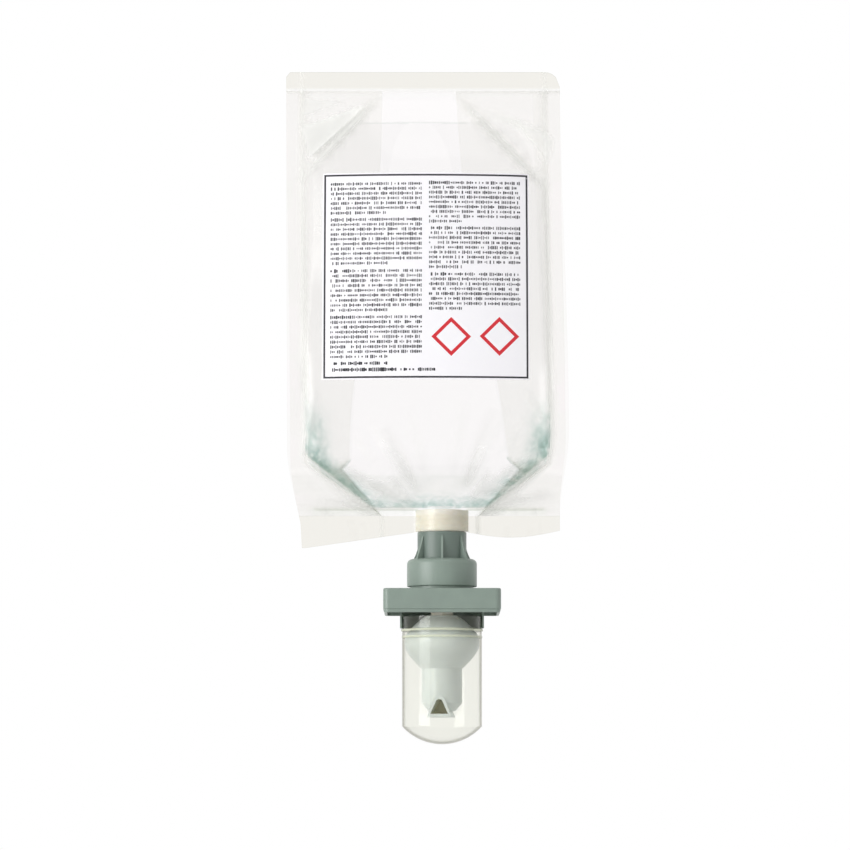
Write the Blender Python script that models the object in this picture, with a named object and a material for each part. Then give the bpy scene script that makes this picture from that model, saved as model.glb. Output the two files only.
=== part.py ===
"""Foaming cleaner refill cartridge: a clear gusseted pouch hung over a foam pump with a dust cap.

The pump axis is the Z axis and the flange plate's underside is at Z = 0. The label faces -Y.
All lengths are in metres.
"""

import math

import bmesh
import bpy

MM = 0.001

# clearances and tessellation
SEAT_GAP = 0.3 * MM
RUN_GAP = 0.3 * MM
SHOWN_SEGMENTS = 32
INNER_SEGMENTS = 20
HOLE_SEGMENTS = 10
SHARP_ANGLE = math.radians(35.0)
CUT_OVERRUN = 1.0 * MM
ROUNDING_SLACK = 0.01 * MM

# pouch: outline seen from the front
POUCH_TOP = 224.9 * MM
POUCH_LEFT_TOP = -64.6 * MM
POUCH_LEFT_HIP = -63.3 * MM
POUCH_LEFT_FOOT = -56.6 * MM
POUCH_RIGHT_TOP = 48.9 * MM
POUCH_RIGHT_HIP = 51.7 * MM
POUCH_RIGHT_FOOT = 48.6 * MM
LEFT_HIP_HEIGHT = 68.0 * MM
LEFT_FOOT_HEIGHT = 22.0 * MM
RIGHT_HIP_HEIGHT = 74.0 * MM
RIGHT_FOOT_HEIGHT = 42.0 * MM
LEFT_EAR_BOTTOM = 27.2 * MM
RIGHT_EAR_BOTTOM = 34.4 * MM
RIGHT_SAG = 2.6 * MM
TOP_CORNER_RADIUS = 6.2 * MM
TOP_SMALL_RADIUS = 2.0 * MM

# pouch: film, seals and gussets
FILM = 0.25 * MM
FIN_WIDTH = 6.5 * MM
TOP_SEAL = 7.9 * MM
BOTTOM_SEAL_TOP = 40.4 * MM
FULLEST_HEIGHT = 66.0 * MM
GUSSET_HALF_DEPTH = 26.0 * MM
SEALED_HALF_DEPTH = 0.4 * MM
FOLD_LEFT = -24.8 * MM
FOLD_RIGHT_TOP = 5.4 * MM
FOLD_RIGHT_FOOT = 14.8 * MM
CORNER_SEAL_TOP = 64.0 * MM
PANEL_SWELL = 7.0 * MM
SWELL_RUN = 30.0 * MM
TOP_FOLD_SLOPE = 1.07
TOP_FOLD_RISE = 0.45
GUSSET_TAUTNESS = 0.96
BODY_TAPER = 1.2
BASE_ROUNDNESS = 0.85
SWELL_ROUNDNESS = 0.8
FIN_SHARES = (0.0, 0.35, 1.0)
PANEL_SHARES = (0.25, 0.5, 0.75)
GUSSET_CUT_OVERRUN = 3.0 * MM
SEAL_BAND = 3.0 * MM
BODY_ROWS = 15
BASE_ROWS = 7
FILL_LEVEL = 192.0 * MM
FILLING_GAP = 0.7 * MM

# label on the front panel
LABEL_LEFT = -49.1 * MM
LABEL_RIGHT = 35.8 * MM
LABEL_BOTTOM = 94.3 * MM
LABEL_TOP = 181.2 * MM
LABEL_THICKNESS = 0.15 * MM
LABEL_COLUMNS = 9

# spout fitment
BOAT_RADIUS = 9.3 * MM
BOAT_BOTTOM = 34.0 * MM
BOAT_TOP = 42.8 * MM
WING_REACH = 10.9 * MM
WING_ROOT = 2.2 * MM
WING_TIP = 0.5 * MM
NECK_RADIUS = 8.6 * MM
SPOUT_BORE = 6.6 * MM
SPOUT_SEAL_MARGIN = 1.5 * MM
WING_STATION = 0.6
MOUTH_LIP = 0.1 * MM
MOUTH_PADS = 4

# flange plate
FLANGE_WIDTH = 48.2 * MM
FLANGE_DEPTH = 38.0 * MM
FLANGE_HEIGHT = 9.9 * MM
FLANGE_WALL = 1.6 * MM
FLANGE_CORNER = 2.4 * MM
FLANGE_TOP_CHAMFER = 0.6 * MM
FLANGE_FOOT_STEP = 0.4 * MM
FLANGE_FOOT_HEIGHT = 1.4 * MM
FLANGE_FOOT_SLOPE = 0.1 * MM
FLANGE_CORNER_STEPS = 4
LEAST_CORNER = 0.3 * MM
SKIRT_WALL = 0.6 * MM
SKIRT_DROP = 5.8 * MM
SKIRT_OPEN_HALF_ANGLE = math.radians(82.0)
SKIRT_STEPS = 20

# pump housing stack
CYLINDER_WALL = 1.0 * MM
AIR_BORE = 10.4 * MM
AIR_BORE_BOTTOM = 3.2 * MM
AIR_BEAD = 0.7 * MM
AIR_BEAD_HEIGHT = 0.6 * MM
CYLINDER_WEB_BOTTOM = 19.5 * MM
CYLINDER_WEB = 1.2 * MM
LIQUID_BORE = 4.6 * MM
LIQUID_TOP = 37.9 * MM
INLET_HOLE = 0.8 * MM
INLET_RING = 2.7 * MM
INLET_HOLES = 4
VALVE_NECK = 0.6 * MM
VALVE_RIM_GAP = 0.7 * MM
VALVE_FLAP = 0.5 * MM
VALVE_FLAP_EDGE = 0.3 * MM
VALVE_KNOB = 1.0 * MM
GASKET = 1.0 * MM
GASKET_BORE = 6.0 * MM

# ribbed collar
COLLAR_SLEEVE_WALL = 1.2 * MM
COLLAR_RADIUS = 14.4 * MM
COLLAR_FILLET = 2.2 * MM
COLLAR_FILLET_STEPS = 3
COLLAR_SHOULDER = 22.6 * MM
COLLAR_FOOT = 11.2 * MM
COLLAR_RING_RADIUS = 13.1 * MM
COLLAR_SNAP = 0.8 * MM
COLLAR_SNAP_HEIGHT = 0.6 * MM
RIB_THICKNESS = 0.9 * MM
RIB_SINK = 0.8 * MM
RIB_REACH = 13.5 * MM
RIB_TOP = 32.5 * MM
SHORT_RIB_REACH = 11.6 * MM
SHORT_RIB_TOP = 26.7 * MM
TALL_RIB_ANGLES = (0.0, 50.0, 130.0, 180.0, 230.0, 310.0)
SHORT_RIB_ANGLES = (90.0, 270.0)

# moving pump parts, drawn at rest
STEM_RADIUS = 3.2 * MM
STEM_BORE = 1.8 * MM
STEM_NECK = 2.4 * MM
STEM_BOTTOM = -8.0 * MM
STEM_SHOULDER = 25.7 * MM
STEM_TOP = 29.0 * MM
SEAL_HEIGHT = 2.6 * MM
SEAL_WAIST = 0.4 * MM
SEAL_WAIST_SHARES = (0.35, 0.65)
SEAL_LIP_DEPTH = 0.6 * MM
PISTON_LIP_HEIGHT = 3.8 * MM
PISTON_LIP = 0.8 * MM
PISTON_LIP_DROP = 0.8 * MM
PISTON_WEB = 1.0 * MM
PISTON_HUB_WALL = 1.1 * MM
PISTON_HUB_TOP = 9.4 * MM
PISTON_HUB_BOTTOM = -0.9 * MM
AIR_HOLE = 0.7 * MM
AIR_HOLE_RING = 7.2 * MM
AIR_HOLES = 4
AIR_FLAP = 0.4 * MM
AIR_FLAP_INNER = 6.1 * MM
AIR_FLAP_OUTER = 8.7 * MM
SPRING_WIRE = 0.8 * MM
SPRING_TURNS = 5
SPRING_CLEARANCE = 0.25 * MM
SPRING_STEPS_PER_TURN = 14

# nozzle head
HEAD_TOP = -0.8 * MM
SOCKET_WALL = 1.5 * MM
SOCKET_BOTTOM = -19.7 * MM
HEAD_SHELL = 1.4 * MM
BULB_GAP = 0.5 * MM
BULB_WIDEST = -11.6 * MM
BULB_LIP_RADIUS = 8.7 * MM
BULB_LIP_DROP = 1.9 * MM
BULB_SHOULDER_INSET = 3.5 * MM
BULB_SHOULDER_DROP = 5.0 * MM
BULB_LIP_WALL = 0.6 * MM
BULB_LIP_BEVEL = 0.2 * MM
BULB_LIP_SHARES = (0.62, 0.38)
BULB_RISE_SHARES = (0.45, 0.8, 1.0)
BULB_RISE_ROUNDNESS = 0.8
BULB_FALL_SHARES = (0.25, 0.5, 0.72, 0.9, 1.0)
HOLLOW_RISE = 0.5 * MM
NOZZLE_RADIUS = 8.3 * MM
NOZZLE_TOP = -22.6 * MM
NOZZLE_CORNER = -37.0 * MM
NOZZLE_END = -40.0 * MM
NOZZLE_END_RADIUS = 5.2 * MM
NOZZLE_BORE = 3.0 * MM
NOZZLE_BORE_END = -36.0 * MM
OUTLET_TURN = math.radians(-8.0)
OUTLET_WIDTH = 7.4 * MM
OUTLET_APEX = -35.2 * MM
OUTLET_FLOOR = -41.2 * MM
BEAK_WALL = 1.3 * MM
BEAK_FLOOR = 1.3 * MM
BEAK_FRONT = 8.9 * MM
BEAK_BACK = 3.4 * MM
OUTLET_CROWN_RADIUS = 1.5 * MM
ARCH_STEPS = 6

# mesh holder and screens
HOLDER_TOP = -1.2 * MM
HOLDER_LEDGE = -10.5 * MM
HOLDER_BORE = 2.8 * MM
HOLDER_WALL = 1.5 * MM
HOLDER_FOOT_RADIUS = 4.2 * MM
HOLDER_FOOT_DEPTH = 1.1 * MM
SCREEN_THICKNESS = 0.3 * MM
OUTLET_VALVE_RIM = 0.5 * MM
OUTLET_VALVE_BILL = 0.6 * MM
OUTLET_SLIT = 0.3 * MM

# dust cap
CAP_RADIUS = 16.4 * MM
CAP_WALL = 0.4 * MM
CAP_RIM = -1.2 * MM
CAP_BEAD = 0.5 * MM
CAP_BEAD_HEIGHT = 1.2 * MM
CAP_BEAD_BEVEL = 0.2 * MM
CAP_DOME_START = -46.2 * MM
CAP_BOTTOM = -53.5 * MM
CAP_DOME_STEPS = 6


def clear_scene():
    """Empty the scene of whatever it opened with."""
    for old in list(bpy.data.objects):
        bpy.data.objects.remove(old, do_unlink=True)


def paint(name, colour, roughness, metallic=0.0):
    """Make a plain Principled material from linear red, green and blue."""
    made = bpy.data.materials.new(name)
    made.use_nodes = True
    shader = made.node_tree.nodes["Principled BSDF"]
    shader.inputs["Base Color"].default_value = (*colour, 1.0)
    shader.inputs["Roughness"].default_value = roughness
    shader.inputs["Metallic"].default_value = metallic
    made.diffuse_color = (*colour, 1.0)
    return made


def place(name, shape, finish=None):
    """Turn a bmesh into an object of the scene, shaded smooth between sharp edges."""
    bmesh.ops.recalc_face_normals(shape, faces=shape.faces[:])
    mesh = bpy.data.meshes.new(name)
    shape.to_mesh(mesh)
    shape.free()
    mesh.shade_smooth()
    mesh.set_sharp_from_angle(angle=SHARP_ANGLE)
    made = bpy.data.objects.new(name, mesh)
    bpy.context.scene.collection.objects.link(made)
    if finish is not None:
        mesh.materials.append(finish)
    return made


def turned_shape(outline, segments, closed=True):
    """Spin an outline of (radius, height) points about Z; an open one starts and ends on the axis."""
    shape = bmesh.new()
    points = [shape.verts.new((radius, 0.0, height)) for radius, height in outline]
    edges = [shape.edges.new(pair) for pair in zip(points, points[1:])]
    if closed:
        edges.append(shape.edges.new((points[-1], points[0])))
    bmesh.ops.spin(
        shape,
        geom=points + edges,
        cent=(0.0, 0.0, 0.0),
        axis=(0.0, 0.0, 1.0),
        angle=2.0 * math.pi,
        steps=segments,
    )
    bmesh.ops.remove_doubles(shape, verts=shape.verts[:], dist=0.001 * MM)
    return shape


def lofted_shape(loops, cap=None):
    """Join closed loops of equal point counts, and close both ends with a cap maker or a plain face.

    Each patch is split from its lower point nearer the plane Y = 0, so that nested walls fold alike.
    """
    shape = bmesh.new()
    rings = [[shape.verts.new(point) for point in loop] for loop in loops]
    for lower, upper in zip(rings, rings[1:]):
        for index in range(len(lower)):
            after = (index + 1) % len(lower)
            here, there = (lower[index], lower[after])
            over_here, over_there = (upper[index], upper[after])
            if abs(here.co.y) <= abs(there.co.y):
                shape.faces.new((here, there, over_there))
                shape.faces.new((here, over_there, over_here))
            else:
                shape.faces.new((here, there, over_here))
                shape.faces.new((there, over_there, over_here))
    for ring in (rings[0], rings[-1]):
        if cap is None:
            shape.faces.new(ring)
        else:
            cap(shape, ring)
    return shape


def paired_cap(shape, ring):
    """Close a loop whose front points each have a back point straight behind them."""
    for index in range(len(ring) // 2 - 1):
        shape.faces.new((ring[index], ring[index + 1], ring[-index - 2], ring[-index - 1]))


def creased_cap(shape, ring):
    """Close a loop of front points, a right crease, back points and a left crease, along its middle."""
    count = len(ring) // 2 - 1
    right = ring[count]
    left = ring[-1]
    middle = []
    for point in ring[:count]:
        if point.co.x <= left.co.x:
            middle.append(left)
        elif point.co.x >= right.co.x:
            middle.append(right)
        else:
            middle.append(shape.verts.new((point.co.x, 0.0, point.co.z)))
    ends = ((left, middle[0], ring[0], ring[2 * count]), (right, middle[-1], ring[count - 1], ring[count + 1]))
    for crease, inner, near, far in ends:
        if inner != crease:
            shape.faces.new((crease, near, inner))
            shape.faces.new((crease, inner, far))
    for side in (ring[:count], [ring[2 * count - index] for index in range(count)]):
        for near, after, here, beyond in zip(side, side[1:], middle, middle[1:]):
            corners = (near, after, beyond) if here == beyond else (near, after, beyond, here)
            shape.faces.new(corners)


def bar_shape(outline, start, end, turn=0.0):
    """Extrude an (x, z) outline along Y from start to end, then turn it about Z."""
    cosine = math.cos(turn)
    sine = math.sin(turn)
    loops = []
    for depth in (start, end):
        loops.append([(x * cosine - depth * sine, x * sine + depth * cosine, z) for x, z in outline])
    return lofted_shape(loops)


def combine(target, tool, operation):
    """Cut or join a hidden helper into an object with an exact Boolean."""
    tool.hide_render = True
    tool.display_type = "WIRE"
    step = target.modifiers.new(tool.name, "BOOLEAN")
    step.operation = operation
    step.solver = "EXACT"
    step.object = tool


def drill_ring(target, name, count, ring, radius, bottom, top):
    """Drill evenly spaced holes on a pitch circle, as one tool of separate round bars."""
    shape = bmesh.new()
    for index in range(count):
        angle = 2.0 * math.pi * (index + 0.5) / count
        outline = []
        for step in range(HOLE_SEGMENTS):
            around = 2.0 * math.pi * step / HOLE_SEGMENTS
            x = ring * math.cos(angle) + radius * math.cos(around)
            y = ring * math.sin(angle) + radius * math.sin(around)
            outline.append((x, y))
        low = [shape.verts.new((x, y, bottom)) for x, y in outline]
        high = [shape.verts.new((x, y, top)) for x, y in outline]
        for step in range(HOLE_SEGMENTS):
            after = (step + 1) % HOLE_SEGMENTS
            shape.faces.new((low[step], low[after], high[after], high[step]))
        shape.faces.new(low[::-1])
        shape.faces.new(high)
    combine(target, place(name, shape), "DIFFERENCE")


# places that follow from the sizes above
TOP_SEAL_BOTTOM = POUCH_TOP - TOP_SEAL
CYLINDER_RADIUS = AIR_BORE + CYLINDER_WALL
CYLINDER_WEB_TOP = CYLINDER_WEB_BOTTOM + CYLINDER_WEB
GASKET_BOTTOM = CYLINDER_WEB_TOP + SEAT_GAP
NECK_BOTTOM = GASKET_BOTTOM + GASKET + SEAT_GAP
COLLAR_TOP = BOAT_BOTTOM - SEAT_GAP
COLLAR_SLEEVE_BORE = NECK_RADIUS + SEAT_GAP
COLLAR_BORE = CYLINDER_RADIUS + SEAT_GAP
COLLAR_WEB_BOTTOM = CYLINDER_WEB_TOP + SEAT_GAP
FLANGE_PLATE_BOTTOM = FLANGE_HEIGHT - FLANGE_WALL
COLLAR_BOTTOM = FLANGE_PLATE_BOTTOM - SEAT_GAP - COLLAR_SNAP_HEIGHT
SKIRT_BORE = CAP_RADIUS + RUN_GAP
PISTON_BOTTOM = AIR_BORE_BOTTOM + AIR_BEAD_HEIGHT + SEAT_GAP
PISTON_WEB_BOTTOM = PISTON_BOTTOM + PISTON_LIP_DROP
PISTON_WEB_TOP = PISTON_WEB_BOTTOM + PISTON_WEB
PISTON_HUB_BORE = STEM_RADIUS + SEAT_GAP
PISTON_HUB_RADIUS = PISTON_HUB_BORE + PISTON_HUB_WALL
HOLDER_SOCKET = STEM_RADIUS + SEAT_GAP
HOLDER_RADIUS = HOLDER_SOCKET + HOLDER_WALL
SOCKET_RADIUS = HOLDER_RADIUS + SEAT_GAP
CAVITY_FLOOR = BOAT_TOP + 2.0 * SEAT_GAP
SPOUT_MOUTH = BOAT_BOTTOM - CUT_OVERRUN
MIDDLE_REACH = WING_REACH + SPOUT_SEAL_MARGIN
MIDDLE_STATIONS = (0.0, 0.43, 0.75, 0.96)
BULB_RADIUS = CAP_RADIUS - CAP_WALL - BULB_GAP
BULB_SHOULDER_RADIUS = BULB_RADIUS - BULB_SHOULDER_INSET


def smooth_step(value):
    """Ease a value from 0 to 1."""
    held = min(1.0, max(0.0, value))
    return held * held * (3.0 - 2.0 * held)


def blend(start, end, share):
    """Mix two values."""
    return start + (end - start) * share


def edge_x(side, height):
    """X of the pouch's outer side edge at a height; side is -1 on the left, 1 on the right."""
    top, hip, foot = (POUCH_LEFT_TOP, POUCH_LEFT_HIP, POUCH_LEFT_FOOT)
    hip_height, foot_height = (LEFT_HIP_HEIGHT, LEFT_FOOT_HEIGHT)
    if side > 0:
        top, hip, foot = (POUCH_RIGHT_TOP, POUCH_RIGHT_HIP, POUCH_RIGHT_FOOT)
        hip_height, foot_height = (RIGHT_HIP_HEIGHT, RIGHT_FOOT_HEIGHT)
    if height > hip_height:
        return blend(hip, top, smooth_step((height - hip_height) / (POUCH_TOP - hip_height)))
    return blend(hip, foot, smooth_step((hip_height - height) / (hip_height - foot_height)))


def fold_x(side, height):
    """X of the gusset's centre fold where the gusset lies flat."""
    if side < 0:
        return FOLD_LEFT
    return blend(FOLD_RIGHT_TOP, FOLD_RIGHT_FOOT, (POUCH_TOP - height) / (POUCH_TOP - BOTTOM_SEAL_TOP))


def corner_x(side, height):
    """X where the front panel leaves its gusset: the fin's inner line, then the slanted corner seal."""
    fin = edge_x(side, height) - side * FIN_WIDTH
    if height >= CORNER_SEAL_TOP:
        return fin
    start = edge_x(side, CORNER_SEAL_TOP) - side * FIN_WIDTH
    share = (CORNER_SEAL_TOP - height) / (CORNER_SEAL_TOP - BOTTOM_SEAL_TOP)
    return blend(start, fold_x(side, BOTTOM_SEAL_TOP), min(1.0, share))


def gusset_length(side, height):
    """Width of half the gusset, from the panel's corner to the centre fold."""
    return abs(corner_x(side, height) - fold_x(side, height))


def half_depth(height):
    """Half the pouch's depth at its corners: nothing at both seals, widest above the base."""
    if height >= FULLEST_HEIGHT:
        share = (TOP_SEAL_BOTTOM - height) / (TOP_SEAL_BOTTOM - FULLEST_HEIGHT)
        opened = GUSSET_HALF_DEPTH * math.sin(0.5 * math.pi * max(0.0, share)) ** BODY_TAPER
    else:
        share = (FULLEST_HEIGHT - height) / (FULLEST_HEIGHT - BOTTOM_SEAL_TOP)
        narrowing = max(0.0, math.cos(0.5 * math.pi * min(1.0, share)))
        opened = GUSSET_HALF_DEPTH * narrowing ** BASE_ROUNDNESS
    taut = GUSSET_TAUTNESS * min(gusset_length(-1, height), gusset_length(1, height))
    return max(SEALED_HALF_DEPTH, min(opened, taut))


def crease_x(side, height, wall):
    """X of the gusset's inward fold, a wall's thickness into the pouch."""
    depth = half_depth(height)
    length = gusset_length(side, height)
    run = math.sqrt(max(0.0, length * length - depth * depth))
    return corner_x(side, height) - side * (run + wall * length / depth)


def boat_half(x, grow):
    """Half the spout boat's thickness at x: a round body between two thin wings, grown by a gap."""
    radius = BOAT_RADIUS + grow
    reach = abs(x)
    if reach > WING_REACH + grow + ROUNDING_SLACK:
        return 0.0
    body = math.sqrt(max(0.0, radius * radius - reach * reach))
    share = min(1.0, max(0.0, (reach - BOAT_RADIUS) / (WING_REACH - BOAT_RADIUS)))
    return max(body, blend(WING_ROOT, WING_TIP, share) + grow)


def ridge_height(x):
    """Height of the slanted folds that fan out and down from the top seal."""
    outside = max(0.0, FOLD_LEFT - x, x - FOLD_RIGHT_TOP)
    return TOP_SEAL_BOTTOM - TOP_FOLD_SLOPE * outside


def swell(x, height):
    """How far a panel stands out between its corners."""
    left = corner_x(-1, height)
    right = corner_x(1, height)
    across = (2.0 * x - left - right) / (right - left)
    crown = max(0.0, 1.0 - across * across) ** SWELL_ROUNDNESS
    ends = smooth_step((TOP_SEAL_BOTTOM - height) / SWELL_RUN) * smooth_step((height - BOAT_TOP) / SWELL_RUN)
    return min(PANEL_SWELL * crown * ends, TOP_FOLD_RISE * max(0.0, ridge_height(x) - height))


def panel_depth(x, height, wall):
    """Distance of a panel's surface from the pouch's middle plane; wall is 0 for the inner face."""
    if height <= CAVITY_FLOOR - SEAT_GAP:
        return max(SEALED_HALF_DEPTH + wall, boat_half(x, SEAT_GAP + wall))
    fade = 1.0 - smooth_step((height - BOAT_TOP) / (CORNER_SEAL_TOP - BOAT_TOP))
    return max(half_depth(height) + swell(x, height) + wall, boat_half(x, SEAT_GAP + wall) * fade)


def middle_stations(reach):
    """X stations across the spout boat, close together where its side turns in."""
    radius = BOAT_RADIUS + SEAT_GAP
    right = [radius * share for share in MIDDLE_STATIONS]
    right += [radius + FILM, blend(radius, WING_REACH + SEAT_GAP, WING_STATION), WING_REACH + SEAT_GAP, reach]
    return [-x for x in right[:0:-1]] + right


def bottom_edge(x):
    """Height of the pouch's lower edge: a low left ear, a level middle and a right side that sags."""
    if x < 0.0:
        share = min(1.0, max(0.0, (-x - BOAT_RADIUS) / (-POUCH_LEFT_FOOT - BOAT_RADIUS)))
        return blend(BOAT_BOTTOM, LEFT_EAR_BOTTOM, share)
    share = min(1.0, max(0.0, (x - BOAT_RADIUS) / (POUCH_RIGHT_FOOT - BOAT_RADIUS)))
    return blend(BOAT_BOTTOM, RIGHT_EAR_BOTTOM, share) - RIGHT_SAG * math.sin(math.pi * share)


def top_edge(side, inset):
    """Height of the top edge near a corner, rounded by that corner's radius."""
    radius = TOP_CORNER_RADIUS if side > 0 else TOP_SMALL_RADIUS
    gone = max(0.0, radius - inset)
    return POUCH_TOP - radius + math.sqrt(max(0.0, radius * radius - gone * gone))


def row_heights():
    """Heights of the pouch's cross-sections between its two seals."""
    base = [blend(CAVITY_FLOOR, CORNER_SEAL_TOP, step / BASE_ROWS) for step in range(1, BASE_ROWS)]
    body = [blend(CORNER_SEAL_TOP, TOP_SEAL_BOTTOM, step / BODY_ROWS) for step in range(BODY_ROWS)]
    return base + body


def hull_row(height, lower_edge=False, upper_edge=False):
    """One closed loop of the pouch's outer skin: front left to right, then back right to left."""
    left = edge_x(-1, height)
    right = edge_x(1, height)
    fins = [share * FIN_WIDTH for share in FIN_SHARES]
    middle = middle_stations(MIDDLE_REACH)
    stations = [left + step for step in fins]
    stations += [blend(left + FIN_WIDTH, middle[0], share) for share in PANEL_SHARES]
    stations += middle
    stations += [blend(middle[-1], right - FIN_WIDTH, share) for share in PANEL_SHARES]
    stations += [right - step for step in fins[::-1]]
    front = []
    for x in stations:
        z = height
        if lower_edge:
            z = bottom_edge(x)
        if upper_edge:
            z = min(top_edge(-1, x - left), top_edge(1, right - x))
        on_fin = x < left + FIN_WIDTH or x > right - FIN_WIDTH
        depth = half_depth(height) + FILM if on_fin else panel_depth(x, height, FILM)
        front.append((x, -depth, z))
    back = [(x, -y, z) for x, y, z in reversed(front)]
    return front + back


def cavity_row(height, inset):
    """One closed loop of the pouch's inside, or of its filling when inset is above zero."""
    corners = []
    creases = []
    for side in (-1, 1):
        depth = half_depth(height)
        length = gusset_length(side, height)
        lean = 0.5 * math.asin(min(1.0, depth / length))
        corners.append(corner_x(side, height) - side * inset / math.tan(lean))
        creases.append(crease_x(side, height, FILM + inset))
    middle = middle_stations(MIDDLE_REACH)
    stations = [blend(corners[0], middle[0], share) for share in (0.0, *PANEL_SHARES)]
    stations += middle
    stations += [blend(middle[-1], corners[1], share) for share in (*PANEL_SHARES, 1.0)]
    front = [(x, inset - panel_depth(x, height, 0.0), height) for x in stations]
    back = [(x, -y, z) for x, y, z in reversed(front)]
    return front + [(creases[1], 0.0, height)] + back + [(creases[0], 0.0, height)]


def spout_row(height):
    """The pouch's inside where it closes on the spout boat, with the cavity rows' point count."""
    tip = WING_REACH + SEAT_GAP
    edge = tip + MOUTH_LIP
    step_out = MOUTH_LIP / MOUTH_PADS
    outward = [edge + step_out * (step + 1) for step in range(MOUTH_PADS)]
    stations = [-x for x in outward[::-1]] + middle_stations(edge) + outward
    tip_half = WING_TIP + SEAT_GAP
    front = [(x, -max(boat_half(x, SEAT_GAP), tip_half), height) for x in stations]
    back = [(x, -y, z) for x, y, z in reversed(front)]
    outer = outward[-1] + step_out
    return front + [(outer, 0.0, height)] + back + [(-outer, 0.0, height)]


def gusset_row(side, height):
    """One closed loop of the V-shaped space that a gusset leaves open at the side."""
    outer = edge_x(side, height) + side * GUSSET_CUT_OVERRUN
    inner = corner_x(side, height)
    depth = half_depth(height) - FILM
    crease = crease_x(side, height, 0.0)
    return [
        (outer, -depth, height),
        (inner, -depth, height),
        (crease, 0.0, height),
        (inner, depth, height),
        (outer, depth, height),
    ]


def build_pouch(film, cleaner):
    """The film pouch, open at its spout, and the cleaner inside it."""
    heights = row_heights()
    seal_rows = [BOTTOM_SEAL_TOP - SEAL_BAND, BOTTOM_SEAL_TOP, CAVITY_FLOOR]
    hull = [hull_row(BOAT_BOTTOM, lower_edge=True)]
    hull += [hull_row(height) for height in seal_rows + heights]
    hull += [hull_row(TOP_SEAL_BOTTOM), hull_row(POUCH_TOP, upper_edge=True)]
    pouch = place("pouch_film", lofted_shape(hull, paired_cap), film)

    for side, name in ((-1, "left_gusset_space"), (1, "right_gusset_space")):
        rows = [gusset_row(side, height) for height in [CAVITY_FLOOR] + heights]
        rows.append(gusset_row(side, TOP_SEAL_BOTTOM - SEALED_HALF_DEPTH))
        combine(pouch, place(name, lofted_shape(rows)), "DIFFERENCE")

    inside = [spout_row(SPOUT_MOUTH), spout_row(CAVITY_FLOOR - SEAT_GAP)]
    inside += [cavity_row(height, 0.0) for height in [CAVITY_FLOOR] + heights]
    combine(pouch, place("pouch_inside", lofted_shape(inside, creased_cap)), "DIFFERENCE")

    filling = [CAVITY_FLOOR + SEAT_GAP] + [height for height in heights if height < FILL_LEVEL]
    loops = [cavity_row(height, FILLING_GAP) for height in filling]
    place("cleaner_liquid", lofted_shape(loops, creased_cap), cleaner)


def build_label(paper):
    """The label: a thin sheet that follows the front panel."""
    rows = [height for height in row_heights() if LABEL_BOTTOM < height < LABEL_TOP]
    rows = [LABEL_BOTTOM] + rows + [LABEL_TOP]
    loops = []
    for height in rows:
        stations = [blend(LABEL_LEFT, LABEL_RIGHT, step / LABEL_COLUMNS) for step in range(LABEL_COLUMNS + 1)]
        under = [(x, -panel_depth(x, height, FILM) - SEAT_GAP, height) for x in stations]
        over = [(x, y - LABEL_THICKNESS, z) for x, y, z in reversed(under)]
        loops.append(under + over)
    place("pouch_label", lofted_shape(loops, paired_cap), paper)


def build_spout(natural):
    """The spout fitment: a winged boat sealed between the panels, over a plain neck."""
    stations = [x for x in middle_stations(MIDDLE_REACH) if abs(x) < WING_REACH]
    stations = [-WING_REACH] + stations + [WING_REACH]
    front = [(x, -boat_half(x, 0.0)) for x in stations]
    outline = front + [(x, -y) for x, y in reversed(front)]
    loops = [[(x, y, height) for x, y in outline] for height in (BOAT_BOTTOM, BOAT_TOP)]
    spout = place("spout_fitment", lofted_shape(loops, paired_cap), natural)
    neck = [(0.0, NECK_BOTTOM), (NECK_RADIUS, NECK_BOTTOM), (NECK_RADIUS, BOAT_BOTTOM + CUT_OVERRUN)]
    neck.append((0.0, BOAT_BOTTOM + CUT_OVERRUN))
    combine(spout, place("spout_neck", turned_shape(neck, SHOWN_SEGMENTS, closed=False)), "UNION")
    bore = [(0.0, NECK_BOTTOM - CUT_OVERRUN), (SPOUT_BORE, NECK_BOTTOM - CUT_OVERRUN)]
    bore += [(SPOUT_BORE, BOAT_TOP + CUT_OVERRUN), (0.0, BOAT_TOP + CUT_OVERRUN)]
    combine(spout, place("spout_bore", turned_shape(bore, SHOWN_SEGMENTS, closed=False)), "DIFFERENCE")


def rib_shape(angles, reach, top):
    """Thin triangular ribs standing round the collar's sleeve; angle 0 faces the front."""
    shape = bmesh.new()
    root = COLLAR_SLEEVE_BORE + 0.5 * COLLAR_SLEEVE_WALL
    low = COLLAR_SHOULDER - RIB_SINK
    sleeve = COLLAR_SLEEVE_BORE + COLLAR_SLEEVE_WALL
    outline = [(root, low), (reach, low), (reach, COLLAR_SHOULDER), (sleeve, top), (root, top)]
    for degrees in angles:
        angle = math.radians(degrees)
        out = (math.sin(angle), -math.cos(angle))
        across = (math.cos(angle), math.sin(angle))
        faces = []
        for offset in (-0.5 * RIB_THICKNESS, 0.5 * RIB_THICKNESS):
            ring = []
            for radius, height in outline:
                x = out[0] * radius + across[0] * offset
                y = out[1] * radius + across[1] * offset
                ring.append(shape.verts.new((x, y, height)))
            faces.append(ring)
        near, far = faces
        shape.faces.new(near[::-1])
        shape.faces.new(far)
        for index in range(len(outline)):
            after = (index + 1) % len(outline)
            shape.faces.new((near[index], near[after], far[after], far[index]))
    return shape


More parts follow.
